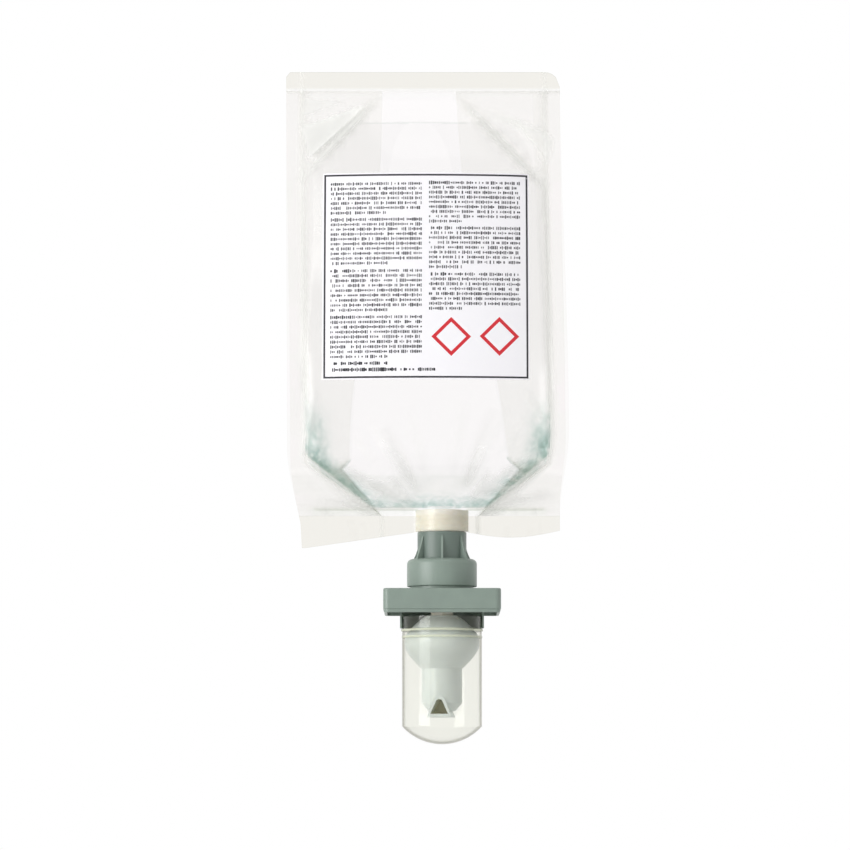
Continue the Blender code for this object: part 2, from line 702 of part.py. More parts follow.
def build_collar(grey):
    """The ribbed collar that clamps the pump to the spout and snaps through the flange plate."""
    sleeve = COLLAR_SLEEVE_BORE + COLLAR_SLEEVE_WALL
    outline = [(COLLAR_SLEEVE_BORE, COLLAR_TOP), (COLLAR_SLEEVE_BORE, COLLAR_WEB_BOTTOM)]
    outline += [(COLLAR_BORE, COLLAR_WEB_BOTTOM), (COLLAR_BORE, COLLAR_BOTTOM)]
    snap = COLLAR_RING_RADIUS + COLLAR_SNAP
    outline += [(COLLAR_RING_RADIUS, COLLAR_BOTTOM), (snap, COLLAR_BOTTOM + COLLAR_SNAP_HEIGHT)]
    outline += [(COLLAR_RING_RADIUS, COLLAR_BOTTOM + COLLAR_SNAP_HEIGHT), (COLLAR_RING_RADIUS, COLLAR_FOOT)]
    outline.append((COLLAR_RADIUS, COLLAR_FOOT))
    for step in range(COLLAR_FILLET_STEPS + 1):
        angle = 0.5 * math.pi * step / COLLAR_FILLET_STEPS
        radius = COLLAR_RADIUS - COLLAR_FILLET * (1.0 - math.cos(angle))
        height = COLLAR_SHOULDER - COLLAR_FILLET * (1.0 - math.sin(angle))
        outline.append((radius, height))
    outline += [(sleeve, COLLAR_SHOULDER), (sleeve, COLLAR_TOP)]
    collar = place("neck_collar", turned_shape(outline, SHOWN_SEGMENTS), grey)
    tall = rib_shape(TALL_RIB_ANGLES, RIB_REACH, RIB_TOP)
    combine(collar, place("tall_ribs", tall), "UNION")
    short = rib_shape(SHORT_RIB_ANGLES, SHORT_RIB_REACH, SHORT_RIB_TOP)
    combine(collar, place("short_ribs", short), "UNION")


def rounded_rectangle(inset, radius):
    """Points of the flange's outline, moved in by an inset, with round corners."""
    half_x = 0.5 * FLANGE_WIDTH - inset
    half_y = 0.5 * FLANGE_DEPTH - inset
    held = max(LEAST_CORNER, radius - inset)
    points = []
    for corner in range(4):
        start = 0.5 * math.pi * corner
        sign_x = 1.0 if corner in (0, 3) else -1.0
        sign_y = 1.0 if corner in (0, 1) else -1.0
        for step in range(FLANGE_CORNER_STEPS + 1):
            angle = start + 0.5 * math.pi * step / FLANGE_CORNER_STEPS
            x = sign_x * (half_x - held) + held * math.cos(angle)
            y = sign_y * (half_y - held) + held * math.sin(angle)
            points.append((x, y))
    return points


def build_flange(grey):
    """The hollow flange plate with the open skirt that the dust cap plugs into."""
    levels = [(0.0, FLANGE_FOOT_STEP), (FLANGE_FOOT_HEIGHT, FLANGE_FOOT_STEP)]
    levels += [(FLANGE_FOOT_HEIGHT + FLANGE_FOOT_SLOPE, 0.0), (FLANGE_HEIGHT - FLANGE_TOP_CHAMFER, 0.0)]
    levels.append((FLANGE_HEIGHT, FLANGE_TOP_CHAMFER))
    loops = [[(x, y, z) for x, y in rounded_rectangle(inset, FLANGE_CORNER)] for z, inset in levels]
    flange = place("flange_plate", lofted_shape(loops), grey)

    under = -CUT_OVERRUN
    inner = rounded_rectangle(FLANGE_WALL, FLANGE_CORNER)
    hollow = [[(x, y, z) for x, y in inner] for z in (under, FLANGE_PLATE_BOTTOM)]
    combine(flange, place("flange_hollow", lofted_shape(hollow)), "DIFFERENCE")
    hole = COLLAR_RING_RADIUS + SEAT_GAP
    over = FLANGE_HEIGHT + CUT_OVERRUN
    outline = [(0.0, under), (hole, under), (hole, over), (0.0, over)]
    through = turned_shape(outline, SHOWN_SEGMENTS, closed=False)
    combine(flange, place("flange_hole", through), "DIFFERENCE")

    section = [(SKIRT_BORE, -SKIRT_DROP), (SKIRT_BORE + SKIRT_WALL, -SKIRT_DROP)]
    root = FLANGE_PLATE_BOTTOM + 0.5 * FLANGE_WALL
    section += [(SKIRT_BORE + SKIRT_WALL, root), (SKIRT_BORE, root)]
    span = 2.0 * (math.pi - SKIRT_OPEN_HALF_ANGLE)
    start = -0.5 * math.pi + SKIRT_OPEN_HALF_ANGLE
    loops = []
    for step in range(SKIRT_STEPS + 1):
        angle = start + span * step / SKIRT_STEPS
        loops.append([(r * math.cos(angle), r * math.sin(angle), z) for r, z in section])
    combine(flange, place("cap_skirt", lofted_shape(loops)), "UNION")


def build_pump_housing(natural, rubber, steel):
    """Cylinder, gasket, inlet valve and return spring: the parts that stay with the collar."""
    tube = LIQUID_BORE + CYLINDER_WALL
    valve_hole = VALVE_NECK + SEAT_GAP
    seat = LIQUID_TOP - CYLINDER_WALL
    outline = [(valve_hole, seat), (valve_hole, LIQUID_TOP), (tube, LIQUID_TOP), (tube, CYLINDER_WEB_TOP)]
    outline += [(CYLINDER_RADIUS, CYLINDER_WEB_TOP), (CYLINDER_RADIUS, AIR_BORE_BOTTOM)]
    outline += [(AIR_BORE - AIR_BEAD, AIR_BORE_BOTTOM), (AIR_BORE - AIR_BEAD, AIR_BORE_BOTTOM + AIR_BEAD_HEIGHT)]
    outline += [(AIR_BORE, AIR_BORE_BOTTOM + AIR_BEAD_HEIGHT), (AIR_BORE, CYLINDER_WEB_BOTTOM)]
    outline += [(LIQUID_BORE, CYLINDER_WEB_BOTTOM), (LIQUID_BORE, seat)]
    cylinder = place("pump_cylinder", turned_shape(outline, INNER_SEGMENTS), natural)
    low = seat - CUT_OVERRUN
    high = LIQUID_TOP + CUT_OVERRUN
    drill_ring(cylinder, "inlet_holes", INLET_HOLES, INLET_RING, INLET_HOLE, low, high)

    gasket = [(GASKET_BORE, GASKET_BOTTOM), (NECK_RADIUS, GASKET_BOTTOM)]
    gasket += [(NECK_RADIUS, GASKET_BOTTOM + GASKET), (GASKET_BORE, GASKET_BOTTOM + GASKET)]
    place("neck_gasket", turned_shape(gasket, INNER_SEGMENTS), rubber)

    flap = seat - SEAT_GAP
    rim = LIQUID_BORE - VALVE_RIM_GAP
    knob = LIQUID_TOP + SEAT_GAP
    valve = [(0.0, flap - VALVE_FLAP), (rim, flap - VALVE_FLAP_EDGE), (rim, flap), (VALVE_NECK, flap)]
    valve += [(VALVE_NECK, knob), (2.0 * VALVE_NECK, knob), (VALVE_NECK, knob + VALVE_KNOB)]
    valve.append((0.0, knob + VALVE_KNOB))
    place("inlet_valve", turned_shape(valve, INNER_SEGMENTS, closed=False), rubber)

    build_spring(steel)


def build_spring(steel):
    """The return spring: a round wire swept along a helix whose end turns close up."""
    radius = PISTON_HUB_RADIUS + SPRING_CLEARANCE + 0.5 * SPRING_WIRE
    bottom = PISTON_WEB_TOP + SEAT_GAP + 0.5 * SPRING_WIRE
    top = CYLINDER_WEB_BOTTOM - SEAT_GAP - 0.5 * SPRING_WIRE
    steps = SPRING_TURNS * SPRING_STEPS_PER_TURN
    curve = bpy.data.curves.new("return_spring", "CURVE")
    curve.dimensions = "3D"
    curve.bevel_depth = 0.5 * SPRING_WIRE
    curve.bevel_resolution = 1
    curve.use_fill_caps = True
    wire = curve.splines.new("POLY")
    wire.points.add(steps)
    for step in range(steps + 1):
        share = step / steps
        angle = 2.0 * math.pi * SPRING_TURNS * share
        height = blend(bottom, top, share)
        wire.points[step].co = (radius * math.cos(angle), radius * math.sin(angle), height, 1.0)
    curve.materials.append(steel)
    made = bpy.data.objects.new("return_spring", curve)
    bpy.context.scene.collection.objects.link(made)


def build_pump_piston(natural, rubber):
    """Stem, liquid seal, outlet valve, air piston and air flap: the parts that pump."""
    stem = [(STEM_BORE, STEM_BOTTOM), (STEM_RADIUS, STEM_BOTTOM), (STEM_RADIUS, STEM_SHOULDER)]
    stem += [(STEM_NECK, STEM_SHOULDER), (STEM_NECK, STEM_TOP), (STEM_BORE, STEM_TOP)]
    place("piston_stem", turned_shape(stem, INNER_SEGMENTS), natural)

    bore = STEM_NECK + SEAT_GAP
    lip = LIQUID_BORE - RUN_GAP
    low = STEM_SHOULDER + SEAT_GAP
    high = low + SEAL_HEIGHT
    waist = lip - SEAL_WAIST
    inside = high - SEAL_LIP_DEPTH
    seal = [(bore, low), (lip, low)]
    seal += [(waist, blend(low, high, share)) for share in SEAL_WAIST_SHARES]
    seal += [(lip, high), (bore + SEAL_LIP_DEPTH, inside), (bore, inside)]
    place("liquid_piston_seal", turned_shape(seal, INNER_SEGMENTS), rubber)

    top = STEM_BOTTOM - SEAT_GAP
    tip = top - OUTLET_VALVE_RIM - OUTLET_VALVE_BILL
    valve = [(STEM_BORE, top), (STEM_RADIUS, top), (STEM_RADIUS, top - OUTLET_VALVE_RIM)]
    valve += [(STEM_BORE, top - OUTLET_VALVE_RIM), (2.0 * OUTLET_SLIT, tip), (OUTLET_SLIT, tip)]
    place("outlet_valve", turned_shape(valve, INNER_SEGMENTS), rubber)

    rim = AIR_BORE - RUN_GAP
    lip_top = PISTON_BOTTOM + PISTON_LIP_HEIGHT
    piston = [(PISTON_HUB_BORE, PISTON_HUB_BOTTOM), (PISTON_HUB_RADIUS, PISTON_HUB_BOTTOM)]
    piston += [(PISTON_HUB_RADIUS, PISTON_WEB_BOTTOM), (rim - PISTON_LIP, PISTON_WEB_BOTTOM)]
    piston += [(rim - PISTON_LIP, PISTON_BOTTOM), (rim, PISTON_BOTTOM), (rim, lip_top)]
    piston += [(rim - PISTON_LIP, lip_top), (rim - PISTON_LIP, PISTON_WEB_TOP)]
    piston += [(PISTON_HUB_RADIUS, PISTON_WEB_TOP), (PISTON_HUB_RADIUS, PISTON_HUB_TOP)]
    piston.append((PISTON_HUB_BORE, PISTON_HUB_TOP))
    air_piston = place("air_piston", turned_shape(piston, INNER_SEGMENTS), natural)
    low = PISTON_WEB_BOTTOM - CUT_OVERRUN
    high = PISTON_WEB_TOP + CUT_OVERRUN
    drill_ring(air_piston, "air_holes", AIR_HOLES, AIR_HOLE_RING, AIR_HOLE, low, high)

    low = PISTON_WEB_TOP + SEAT_GAP
    flap = [(AIR_FLAP_INNER, low), (AIR_FLAP_OUTER, low), (AIR_FLAP_OUTER, low + 0.5 * AIR_FLAP)]
    flap.append((AIR_FLAP_INNER, low + AIR_FLAP))
    place("air_valve", turned_shape(flap, INNER_SEGMENTS), rubber)


def bulb_outline(offset):
    """The bulb's side from its upper lip to the nozzle, moved in by an offset along its normal."""
    lip = (BULB_LIP_RADIUS, HEAD_TOP - BULB_LIP_DROP)
    shoulder = (BULB_SHOULDER_RADIUS, HEAD_TOP - BULB_SHOULDER_DROP)
    out_share, down_share = BULB_LIP_SHARES
    points = [lip, (blend(lip[0], shoulder[0], out_share), blend(lip[1], shoulder[1], down_share)), shoulder]
    rise = shoulder[1] - BULB_WIDEST
    fall = BULB_WIDEST - NOZZLE_TOP
    for share in BULB_RISE_SHARES:
        angle = 0.5 * math.pi * share
        radius = blend(BULB_SHOULDER_RADIUS, BULB_RADIUS, math.sin(angle))
        points.append((radius, shoulder[1] - rise * (1.0 - math.cos(angle)) ** BULB_RISE_ROUNDNESS))
    for share in BULB_FALL_SHARES:
        radius = blend(NOZZLE_RADIUS, BULB_RADIUS, math.cos(0.5 * math.pi * share))
        points.append((radius, BULB_WIDEST - fall * share))
    if not offset:
        return points
    inner = []
    for before, here, after in zip(points, points[1:], points[2:]):
        run = after[0] - before[0]
        drop = before[1] - after[1]
        length = math.hypot(run, drop)
        inner.append((here[0] - offset * drop / length, here[1] - offset * run / length))
    return inner


def arch_outline(width, floor, apex, crown):
    """A doorway in X and Z whose straight sides lean in to a round crown."""
    half = 0.5 * width
    centre = apex - crown
    rise = centre - floor
    lean = math.atan2(rise, half) - math.acos(crown / math.hypot(half, rise))
    points = [(-half, floor), (half, floor)]
    for step in range(ARCH_STEPS + 1):
        angle = blend(-lean, math.pi + lean, step / ARCH_STEPS)
        points.append((crown * math.cos(angle), centre + crown * math.sin(angle)))
    return points


def build_head(white):
    """The foam head: a hollow bulb, the nozzle under it and its hooded outlet, one moulding."""
    wall = SOCKET_RADIUS + SOCKET_WALL
    hollow_floor = SOCKET_BOTTOM + HOLLOW_RISE
    inner = [point for point in bulb_outline(HEAD_SHELL) if point[1] > hollow_floor + HOLLOW_RISE]
    outline = [(0.0, NOZZLE_BORE_END), (NOZZLE_BORE, NOZZLE_BORE_END), (NOZZLE_BORE, SOCKET_BOTTOM)]
    outline += [(SOCKET_RADIUS, SOCKET_BOTTOM), (SOCKET_RADIUS, HEAD_TOP), (wall, HEAD_TOP)]
    outline += [(wall, hollow_floor), (inner[-1][0], hollow_floor)]
    outline += inner[::-1]
    outline.append((BULB_LIP_RADIUS - BULB_LIP_WALL, HEAD_TOP - BULB_LIP_DROP - BULB_LIP_BEVEL))
    outline += bulb_outline(0.0)
    outline += [(NOZZLE_RADIUS, NOZZLE_CORNER), (NOZZLE_END_RADIUS, NOZZLE_END), (0.0, NOZZLE_END)]
    head = place("nozzle_head", turned_shape(outline, SHOWN_SEGMENTS, closed=False), white)

    beak_width = OUTLET_WIDTH + 2.0 * BEAK_WALL
    hood_crown = OUTLET_CROWN_RADIUS + BEAK_WALL
    beak = arch_outline(beak_width, OUTLET_FLOOR - BEAK_FLOOR, OUTLET_APEX + BEAK_WALL, hood_crown)
    hood = bar_shape(beak, -BEAK_FRONT, BEAK_BACK, OUTLET_TURN)
    combine(head, place("outlet_hood", hood), "UNION")
    doorway = arch_outline(OUTLET_WIDTH, OUTLET_FLOOR, OUTLET_APEX, OUTLET_CROWN_RADIUS)
    mouth = bar_shape(doorway, -2.0 * BEAK_FRONT, BEAK_BACK - BEAK_WALL, OUTLET_TURN)
    combine(head, place("outlet_mouth", mouth), "DIFFERENCE")


def build_mesh_holder(natural, gauze):
    """The holder pressed into the head's socket, with a coarse and a fine foaming screen."""
    foot = SOCKET_BOTTOM + SEAT_GAP
    recess = foot + HOLDER_FOOT_DEPTH
    holder = [(HOLDER_SOCKET, HOLDER_TOP), (HOLDER_SOCKET, HOLDER_LEDGE), (HOLDER_BORE, HOLDER_LEDGE)]
    holder += [(HOLDER_BORE, recess), (HOLDER_FOOT_RADIUS, recess), (HOLDER_FOOT_RADIUS, foot)]
    holder += [(HOLDER_RADIUS, foot), (HOLDER_RADIUS, HOLDER_TOP)]
    place("mesh_holder", turned_shape(holder, INNER_SEGMENTS), natural)

    coarse_low = HOLDER_LEDGE + SEAT_GAP
    fine_low = recess - SEAT_GAP - SCREEN_THICKNESS
    coarse = (HOLDER_SOCKET - SEAT_GAP, coarse_low, "coarse_screen")
    fine = (HOLDER_FOOT_RADIUS - SEAT_GAP, fine_low, "fine_screen")
    for radius, low, name in (coarse, fine):
        disc = [(0.0, low), (radius, low), (radius, low + SCREEN_THICKNESS), (0.0, low + SCREEN_THICKNESS)]
        place(name, turned_shape(disc, INNER_SEGMENTS, closed=False), gauze)


def dome(radius, start, bottom):
    """Points of a shallow round bottom, from its edge to the axis."""
    sag = start - bottom
    sphere = (radius * radius + sag * sag) / (2.0 * sag)
    widest = math.asin(radius / sphere)
    points = []
    for step in range(CAP_DOME_STEPS + 1):
        angle = widest * (1.0 - step / CAP_DOME_STEPS)
        points.append((sphere * math.sin(angle), bottom + sphere * (1.0 - math.cos(angle))))
    points[-1] = (0.0, bottom)
    return points


def build_cap(clear):
    """The clear dust cap: thin, round-bottomed, with a bead that stops it under the skirt."""
    bead_top = -SKIRT_DROP - SEAT_GAP
    bead_bottom = bead_top - CAP_BEAD_HEIGHT
    outline = dome(CAP_RADIUS - CAP_WALL, CAP_DOME_START, CAP_BOTTOM + CAP_WALL)[::-1]
    outline += [(CAP_RADIUS - CAP_WALL, CAP_RIM), (CAP_RADIUS, CAP_RIM), (CAP_RADIUS, bead_top)]
    bead_edge = CAP_RADIUS + CAP_BEAD
    outline += [(bead_edge, bead_top - CAP_BEAD_BEVEL), (bead_edge, bead_bottom + CAP_BEAD_BEVEL)]
    outline.append((CAP_RADIUS, bead_bottom))
    outline += dome(CAP_RADIUS, CAP_DOME_START, CAP_BOTTOM)
    place("dust_cap", turned_shape(outline, SHOWN_SEGMENTS, closed=False), clear)


def main():
    """Build the whole cartridge."""
    clear_scene()
    film = paint("clear_film", (0.80, 0.83, 0.78), 0.25)
    cleaner = paint("cleaner", (0.86, 0.88, 0.84), 0.10)
    paper = paint("label_paper", (0.85, 0.85, 0.88), 0.45)
    natural = paint("natural_polyethylene", (0.72, 0.66, 0.52), 0.40)
    grey = paint("grey_polypropylene", (0.26, 0.32, 0.29), 0.45)
    white = paint("white_polypropylene", (0.80, 0.81, 0.79), 0.35)
    clear = paint("clear_polypropylene", (0.80, 0.80, 0.74), 0.20)
    rubber = paint("silicone_rubber", (0.55, 0.56, 0.55), 0.55)
    steel = paint("spring_steel", (0.55, 0.55, 0.56), 0.30, 1.0)
    gauze = paint("nylon_gauze", (0.70, 0.72, 0.72), 0.60)
    build_pouch(film, cleaner)
    build_label(paper)
    build_spout(natural)
    build_collar(grey)
    build_flange(grey)
    build_pump_housing(natural, rubber, steel)
    build_pump_piston(natural, rubber)
    build_head(white)
    build_mesh_holder(natural, gauze)
    build_cap(clear)


main()
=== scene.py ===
"""Foaming cleaner refill cartridge: fine shapes and finishes over the fixed frame, in metres."""

import logging
import math
from dataclasses import dataclass, field
from enum import Enum
from typing import Callable, Iterable, Optional, Sequence

import bmesh
import bpy
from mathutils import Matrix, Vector, noise


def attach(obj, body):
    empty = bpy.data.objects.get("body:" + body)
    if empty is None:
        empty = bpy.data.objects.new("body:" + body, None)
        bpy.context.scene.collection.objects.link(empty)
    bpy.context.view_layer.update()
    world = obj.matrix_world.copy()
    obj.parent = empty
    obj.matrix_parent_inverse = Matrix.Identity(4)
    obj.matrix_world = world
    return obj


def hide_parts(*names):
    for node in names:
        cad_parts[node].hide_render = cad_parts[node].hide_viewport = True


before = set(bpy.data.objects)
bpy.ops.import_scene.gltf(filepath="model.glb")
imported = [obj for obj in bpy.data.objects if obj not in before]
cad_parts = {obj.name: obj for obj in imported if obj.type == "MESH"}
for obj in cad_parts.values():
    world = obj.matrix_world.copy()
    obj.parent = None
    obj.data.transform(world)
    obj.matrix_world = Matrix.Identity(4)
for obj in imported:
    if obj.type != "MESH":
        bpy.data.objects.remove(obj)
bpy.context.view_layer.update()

LOG = logging.getLogger("cartridge")
MM = 0.001
CRISP = 32.0
CREASE_RISE = 0.55
CREASE_SPREAD = 1.5
Pair = tuple[float, float]
Point = tuple[float, float, float]
Outline = list[Pair]


class Body(Enum):
    """The rigid bodies that a piece can ride on."""

    ROOT = "root"
    HEAD = "foam_head"
    CAP = "cap"


class Side(Enum):
    """A side of the pouch seen from the front, with its sign along X."""

    LEFT = -1
    RIGHT = 1


def linear(colour: str, alpha: float = 1.0) -> tuple[float, float, float, float]:
    """Turn an sRGB hex colour into linear red, green, blue and alpha.

    Args:
        colour: Six hex digits after a hash sign.
        alpha: The fourth value.

    Returns:
        The four linear values.
    """
    values = []
    for start in (1, 3, 5):
        share = int(colour[start:start + 2], 16) / 255.0
        values.append(share / 12.92 if share <= 0.04045 else ((share + 0.055) / 1.055) ** 2.4)
    return (values[0], values[1], values[2], alpha)


def add_node(tree: bpy.types.NodeTree, kind: str, inputs: Optional[dict] = None, **settings) -> bpy.types.Node:
    """Add a node with its settings, and set or link its inputs.

    Args:
        tree: The node tree that gets the node.
        kind: The node's type name.
        inputs: Values or output sockets, by input name or index.
        **settings: Attributes of the node.

    Returns:
        The new node.
    """
    made = tree.nodes.new(kind)
    for name, value in settings.items():
        setattr(made, name, value)
    for key, value in (inputs or {}).items():
        if isinstance(value, bpy.types.NodeSocket):
            tree.links.new(value, made.inputs[key])
        else:
            made.inputs[key].default_value = value
    return made


def new_material(name: str) -> tuple[bpy.types.Material, bpy.types.NodeTree]:
    """Make a material with an empty node tree and return both."""
    made = bpy.data.materials.new(name)
    made.use_nodes = True
    made.node_tree.nodes.clear()
    return made, made.node_tree


def carried(tree: bpy.types.NodeTree, name: str) -> bpy.types.NodeSocket:
    """Read a number that the mesh carries."""
    return add_node(tree, "ShaderNodeAttribute", attribute_name=name).outputs["Fac"]


def open_tree(name: str, kinds: dict[str, str]) -> tuple[bpy.types.GeometryNodeTree, bpy.types.Node]:
    """Start a Geometry Nodes tree that gives one geometry.

    Args:
        name: The tree's name.
        kinds: Its inputs' kinds, by input name.

    Returns:
        The tree and its input node.
    """
    tree = bpy.data.node_groups.new(name, "GeometryNodeTree")
    for label, kind in kinds.items():
        tree.interface.new_socket(label, in_out="INPUT", socket_type="NodeSocket" + kind)
    tree.interface.new_socket("Geometry", in_out="OUTPUT", socket_type="NodeSocketGeometry")
    return tree, add_node(tree, "NodeGroupInput")


def close_tree(tree: bpy.types.GeometryNodeTree, copies: bpy.types.Node, finish: bpy.types.NodeSocket) -> None:
    """Make a tree's copies real, give them their material and put them out."""
    real = add_node(tree, "GeometryNodeRealizeInstances", {"Geometry": copies.outputs["Instances"]})
    dressed = add_node(tree, "GeometryNodeSetMaterial", {"Geometry": real.outputs["Geometry"], "Material": finish})
    add_node(tree, "NodeGroupOutput", {"Geometry": dressed.outputs["Geometry"]})


def ease(value: float) -> float:
    """Ease a value from 0 to 1."""
    held = min(1.0, max(0.0, value))
    return held * held * (3.0 - 2.0 * held)


def fading(value: float, start: float, run: float) -> float:
    """1 up to a start, then eased down to 0 over a run."""
    return 1.0 - ease((value - start) / run)


def mix(start: float, end: float, share: float) -> float:
    """Mix two values by a share."""
    return start + (end - start) * share


def bell(distance: float, width: float) -> float:
    """A smooth bump of height 1 that fades over a width."""
    return math.exp(-(distance / width) ** 2)


@dataclass(frozen=True)
class MouldedPlastic:
    """An opaque injection-moulded polyolefin: satin, faintly mottled, with a fine spark-eroded grain."""

    name: str
    colour: str
    shade: str
    roughness: float = 0.42
    subsurface: float = 0.0
    grain: float = 0.35 * MM
    mottle: float = 9.0 * MM
    # painted shade: the colour used where the mesh carries the painted shade mask
    painted_shade_tone: Optional[str] = None

    def material(self) -> bpy.types.Material:
        """Build the finish; the grain is drawn at about a third of a millimetre, the least that shows."""
        made, tree = new_material(self.name)
        place = add_node(tree, "ShaderNodeTexCoord").outputs["Object"]
        cloud = add_node(tree, "ShaderNodeTexNoise", {"Vector": place, "Scale": 1.0 / self.mottle, "Detail": 3.0})
        grain = add_node(tree, "ShaderNodeTexNoise", {"Vector": place, "Scale": 1.0 / self.grain, "Detail": 2.0})
        tone = add_node(tree, "ShaderNodeValToRGB", {"Fac": cloud.outputs["Fac"]})
        tone.color_ramp.elements[0].position = 0.30
        tone.color_ramp.elements[0].color = linear(self.shade)
        tone.color_ramp.elements[1].position = 0.62
        tone.color_ramp.elements[1].color = linear(self.colour)
        polish = add_node(tree, "ShaderNodeMapRange", {
            "Value": cloud.outputs["Fac"], "To Min": self.roughness - 0.05, "To Max": self.roughness + 0.07})
        bump = add_node(tree, "ShaderNodeBump", {
            "Height": grain.outputs["Fac"], "Strength": 0.16, "Distance": 0.05 * MM})
        colour = tone.outputs["Color"]
        # painted shade: the colour turns to the painted shade tone where the mesh carries its mask
        if self.painted_shade_tone is not None:
            painted_shade_mix = add_node(tree, "ShaderNodeMix", {
                "Factor": carried(tree, "painted_shade_mask"), "A": colour, "B": linear(self.painted_shade_tone)}, data_type="RGBA")
            colour = painted_shade_mix.outputs["Result"]
        shader = add_node(tree, "ShaderNodeBsdfPrincipled", {
            "Base Color": colour, "Roughness": polish.outputs["Result"],
            "Normal": bump.outputs["Normal"], "IOR": 1.49, "Subsurface Weight": self.subsurface,
            "Subsurface Radius": (2.4 * MM, 2.0 * MM, 1.5 * MM), "Subsurface Scale": 1.0})
        add_node(tree, "ShaderNodeOutputMaterial", {"Surface": shader.outputs["BSDF"]})
        return made


@dataclass(frozen=True)
class ClearPlastic:
    """A clear film or thin clear moulding: see-through face on, tinted and glossy at grazing angles.

    Where the mesh carries the attribute plies, the tint of folded film takes over up to 1 and that of
    sealed film up to 2; where it carries a painted highlight, the film whitens with it; where it carries
    a painted refraction tint, that blue-green tint shows.
    """

    name: str
    face: str
    rim: str
    haze: float
    roughness: float
    crinkle: float
    crinkle_depth: float
    rim_start: float = 0.35
    least_gloss: float = 0.02
    most_gloss: float = 0.85
    haze_colour: str = "#fbfbf8"
    folded: Optional[str] = None
    sealed: Optional[str] = None
    painted_refraction: Optional[str] = None
    streak: float = 7.0 * MM
    # how strongly the painted highlight whitens the film
    painted_highlight_gain: float = 0.75

    def passed(self, tree: bpy.types.NodeTree, place: bpy.types.NodeSocket,
               facing: bpy.types.NodeSocket) -> bpy.types.NodeSocket:
        """Colour that passes through one surface.

        Args:
            tree: The material's node tree.
            place: The Object coordinates.
            facing: 0 face on to 1 at a grazing angle.

        Returns:
            The colour's socket.
        """
        face = linear(self.face)
        if self.folded is not None:
            plies = carried(tree, "plies")
            folded = add_node(tree, "ShaderNodeMix", {
                "Factor": plies, "A": linear(self.face), "B": linear(self.folded)}, data_type="RGBA")
            welded = add_node(tree, "ShaderNodeMath", {0: plies, 1: 1.0}, operation="SUBTRACT", use_clamp=True)
            sealed = add_node(tree, "ShaderNodeMix", {
                "Factor": welded.outputs["Value"], "A": folded.outputs["Result"], "B": linear(self.sealed)},
                data_type="RGBA")
            face = sealed.outputs["Result"]
        # painted refraction tint: a blue-green band, streaked by noise, where the mesh carries it
        if self.painted_refraction is not None:
            streaks = add_node(tree, "ShaderNodeTexNoise", {
                "Vector": place, "Scale": 1.0 / self.streak, "Detail": 4.0, "Distortion": 1.4})
            share = add_node(tree, "ShaderNodeMapRange", {
                "Value": streaks.outputs["Fac"], "From Min": 0.34, "From Max": 0.62})
            amount = add_node(tree, "ShaderNodeMath", {
                0: carried(tree, "painted_refraction"), 1: share.outputs["Result"]}, operation="MULTIPLY")
            painted_refraction = add_node(tree, "ShaderNodeMix", {
                "Factor": amount.outputs["Value"], "A": linear(self.face), "B": linear(self.painted_refraction)},
                data_type="RGBA")
            face = painted_refraction.outputs["Result"]
        reach = add_node(tree, "ShaderNodeMapRange", {
            "Value": facing, "From Min": self.rim_start}, interpolation_type="SMOOTHSTEP")
        colour = add_node(tree, "ShaderNodeMix", {
            "Factor": reach.outputs["Result"], "A": face, "B": linear(self.rim)}, data_type="RGBA")
        return colour.outputs["Result"]

    def material(self) -> bpy.types.Material:
        """Build the finish from a tinted see-through layer, a thin haze and a clear gloss."""
        made, tree = new_material(self.name)
        place = add_node(tree, "ShaderNodeTexCoord").outputs["Object"]
        broad = add_node(tree, "ShaderNodeTexNoise", {
            "Vector": place, "Scale": 1.0 / self.crinkle, "Detail": 4.0, "Roughness": 0.55})
        bump = add_node(tree, "ShaderNodeBump", {
            "Height": broad.outputs["Fac"], "Strength": 0.5, "Distance": self.crinkle_depth})
        facing = add_node(tree, "ShaderNodeLayerWeight", {
            "Blend": 0.5, "Normal": bump.outputs["Normal"]}).outputs["Facing"]
        through = add_node(tree, "ShaderNodeBsdfTransparent", {"Color": self.passed(tree, place, facing)})
        film = add_node(tree, "ShaderNodeBsdfDiffuse", {"Color": linear(self.haze_colour)})
        cloud = add_node(tree, "ShaderNodeMapRange", {
            "Value": broad.outputs["Fac"], "From Min": 0.3, "From Max": 0.7,
            "To Min": 0.6 * self.haze, "To Max": 1.4 * self.haze})
        # painted highlight: the haze share rises where the mesh carries it
        haze = add_node(tree, "ShaderNodeMath", {
            0: carried(tree, "painted_highlight"), 1: self.painted_highlight_gain, 2: cloud.outputs["Result"]},
            operation="MULTIPLY_ADD", use_clamp=True)
        body = add_node(tree, "ShaderNodeMixShader", {
            "Fac": haze.outputs["Value"], 1: through.outputs["BSDF"], 2: film.outputs["BSDF"]})
        sheen = add_node(tree, "ShaderNodeBsdfGlossy", {
            "Roughness": self.roughness, "Normal": bump.outputs["Normal"]})
        edge = add_node(tree, "ShaderNodeMath", {0: facing, 1: 5.0}, operation="POWER")
        share = add_node(tree, "ShaderNodeMapRange", {
            "Value": edge.outputs["Value"], "To Min": self.least_gloss, "To Max": self.most_gloss})
        surface = add_node(tree, "ShaderNodeMixShader", {
            "Fac": share.outputs["Result"], 1: body.outputs["Shader"], 2: sheen.outputs["BSDF"]})
        add_node(tree, "ShaderNodeOutputMaterial", {"Surface": surface.outputs["Shader"]})
        return made


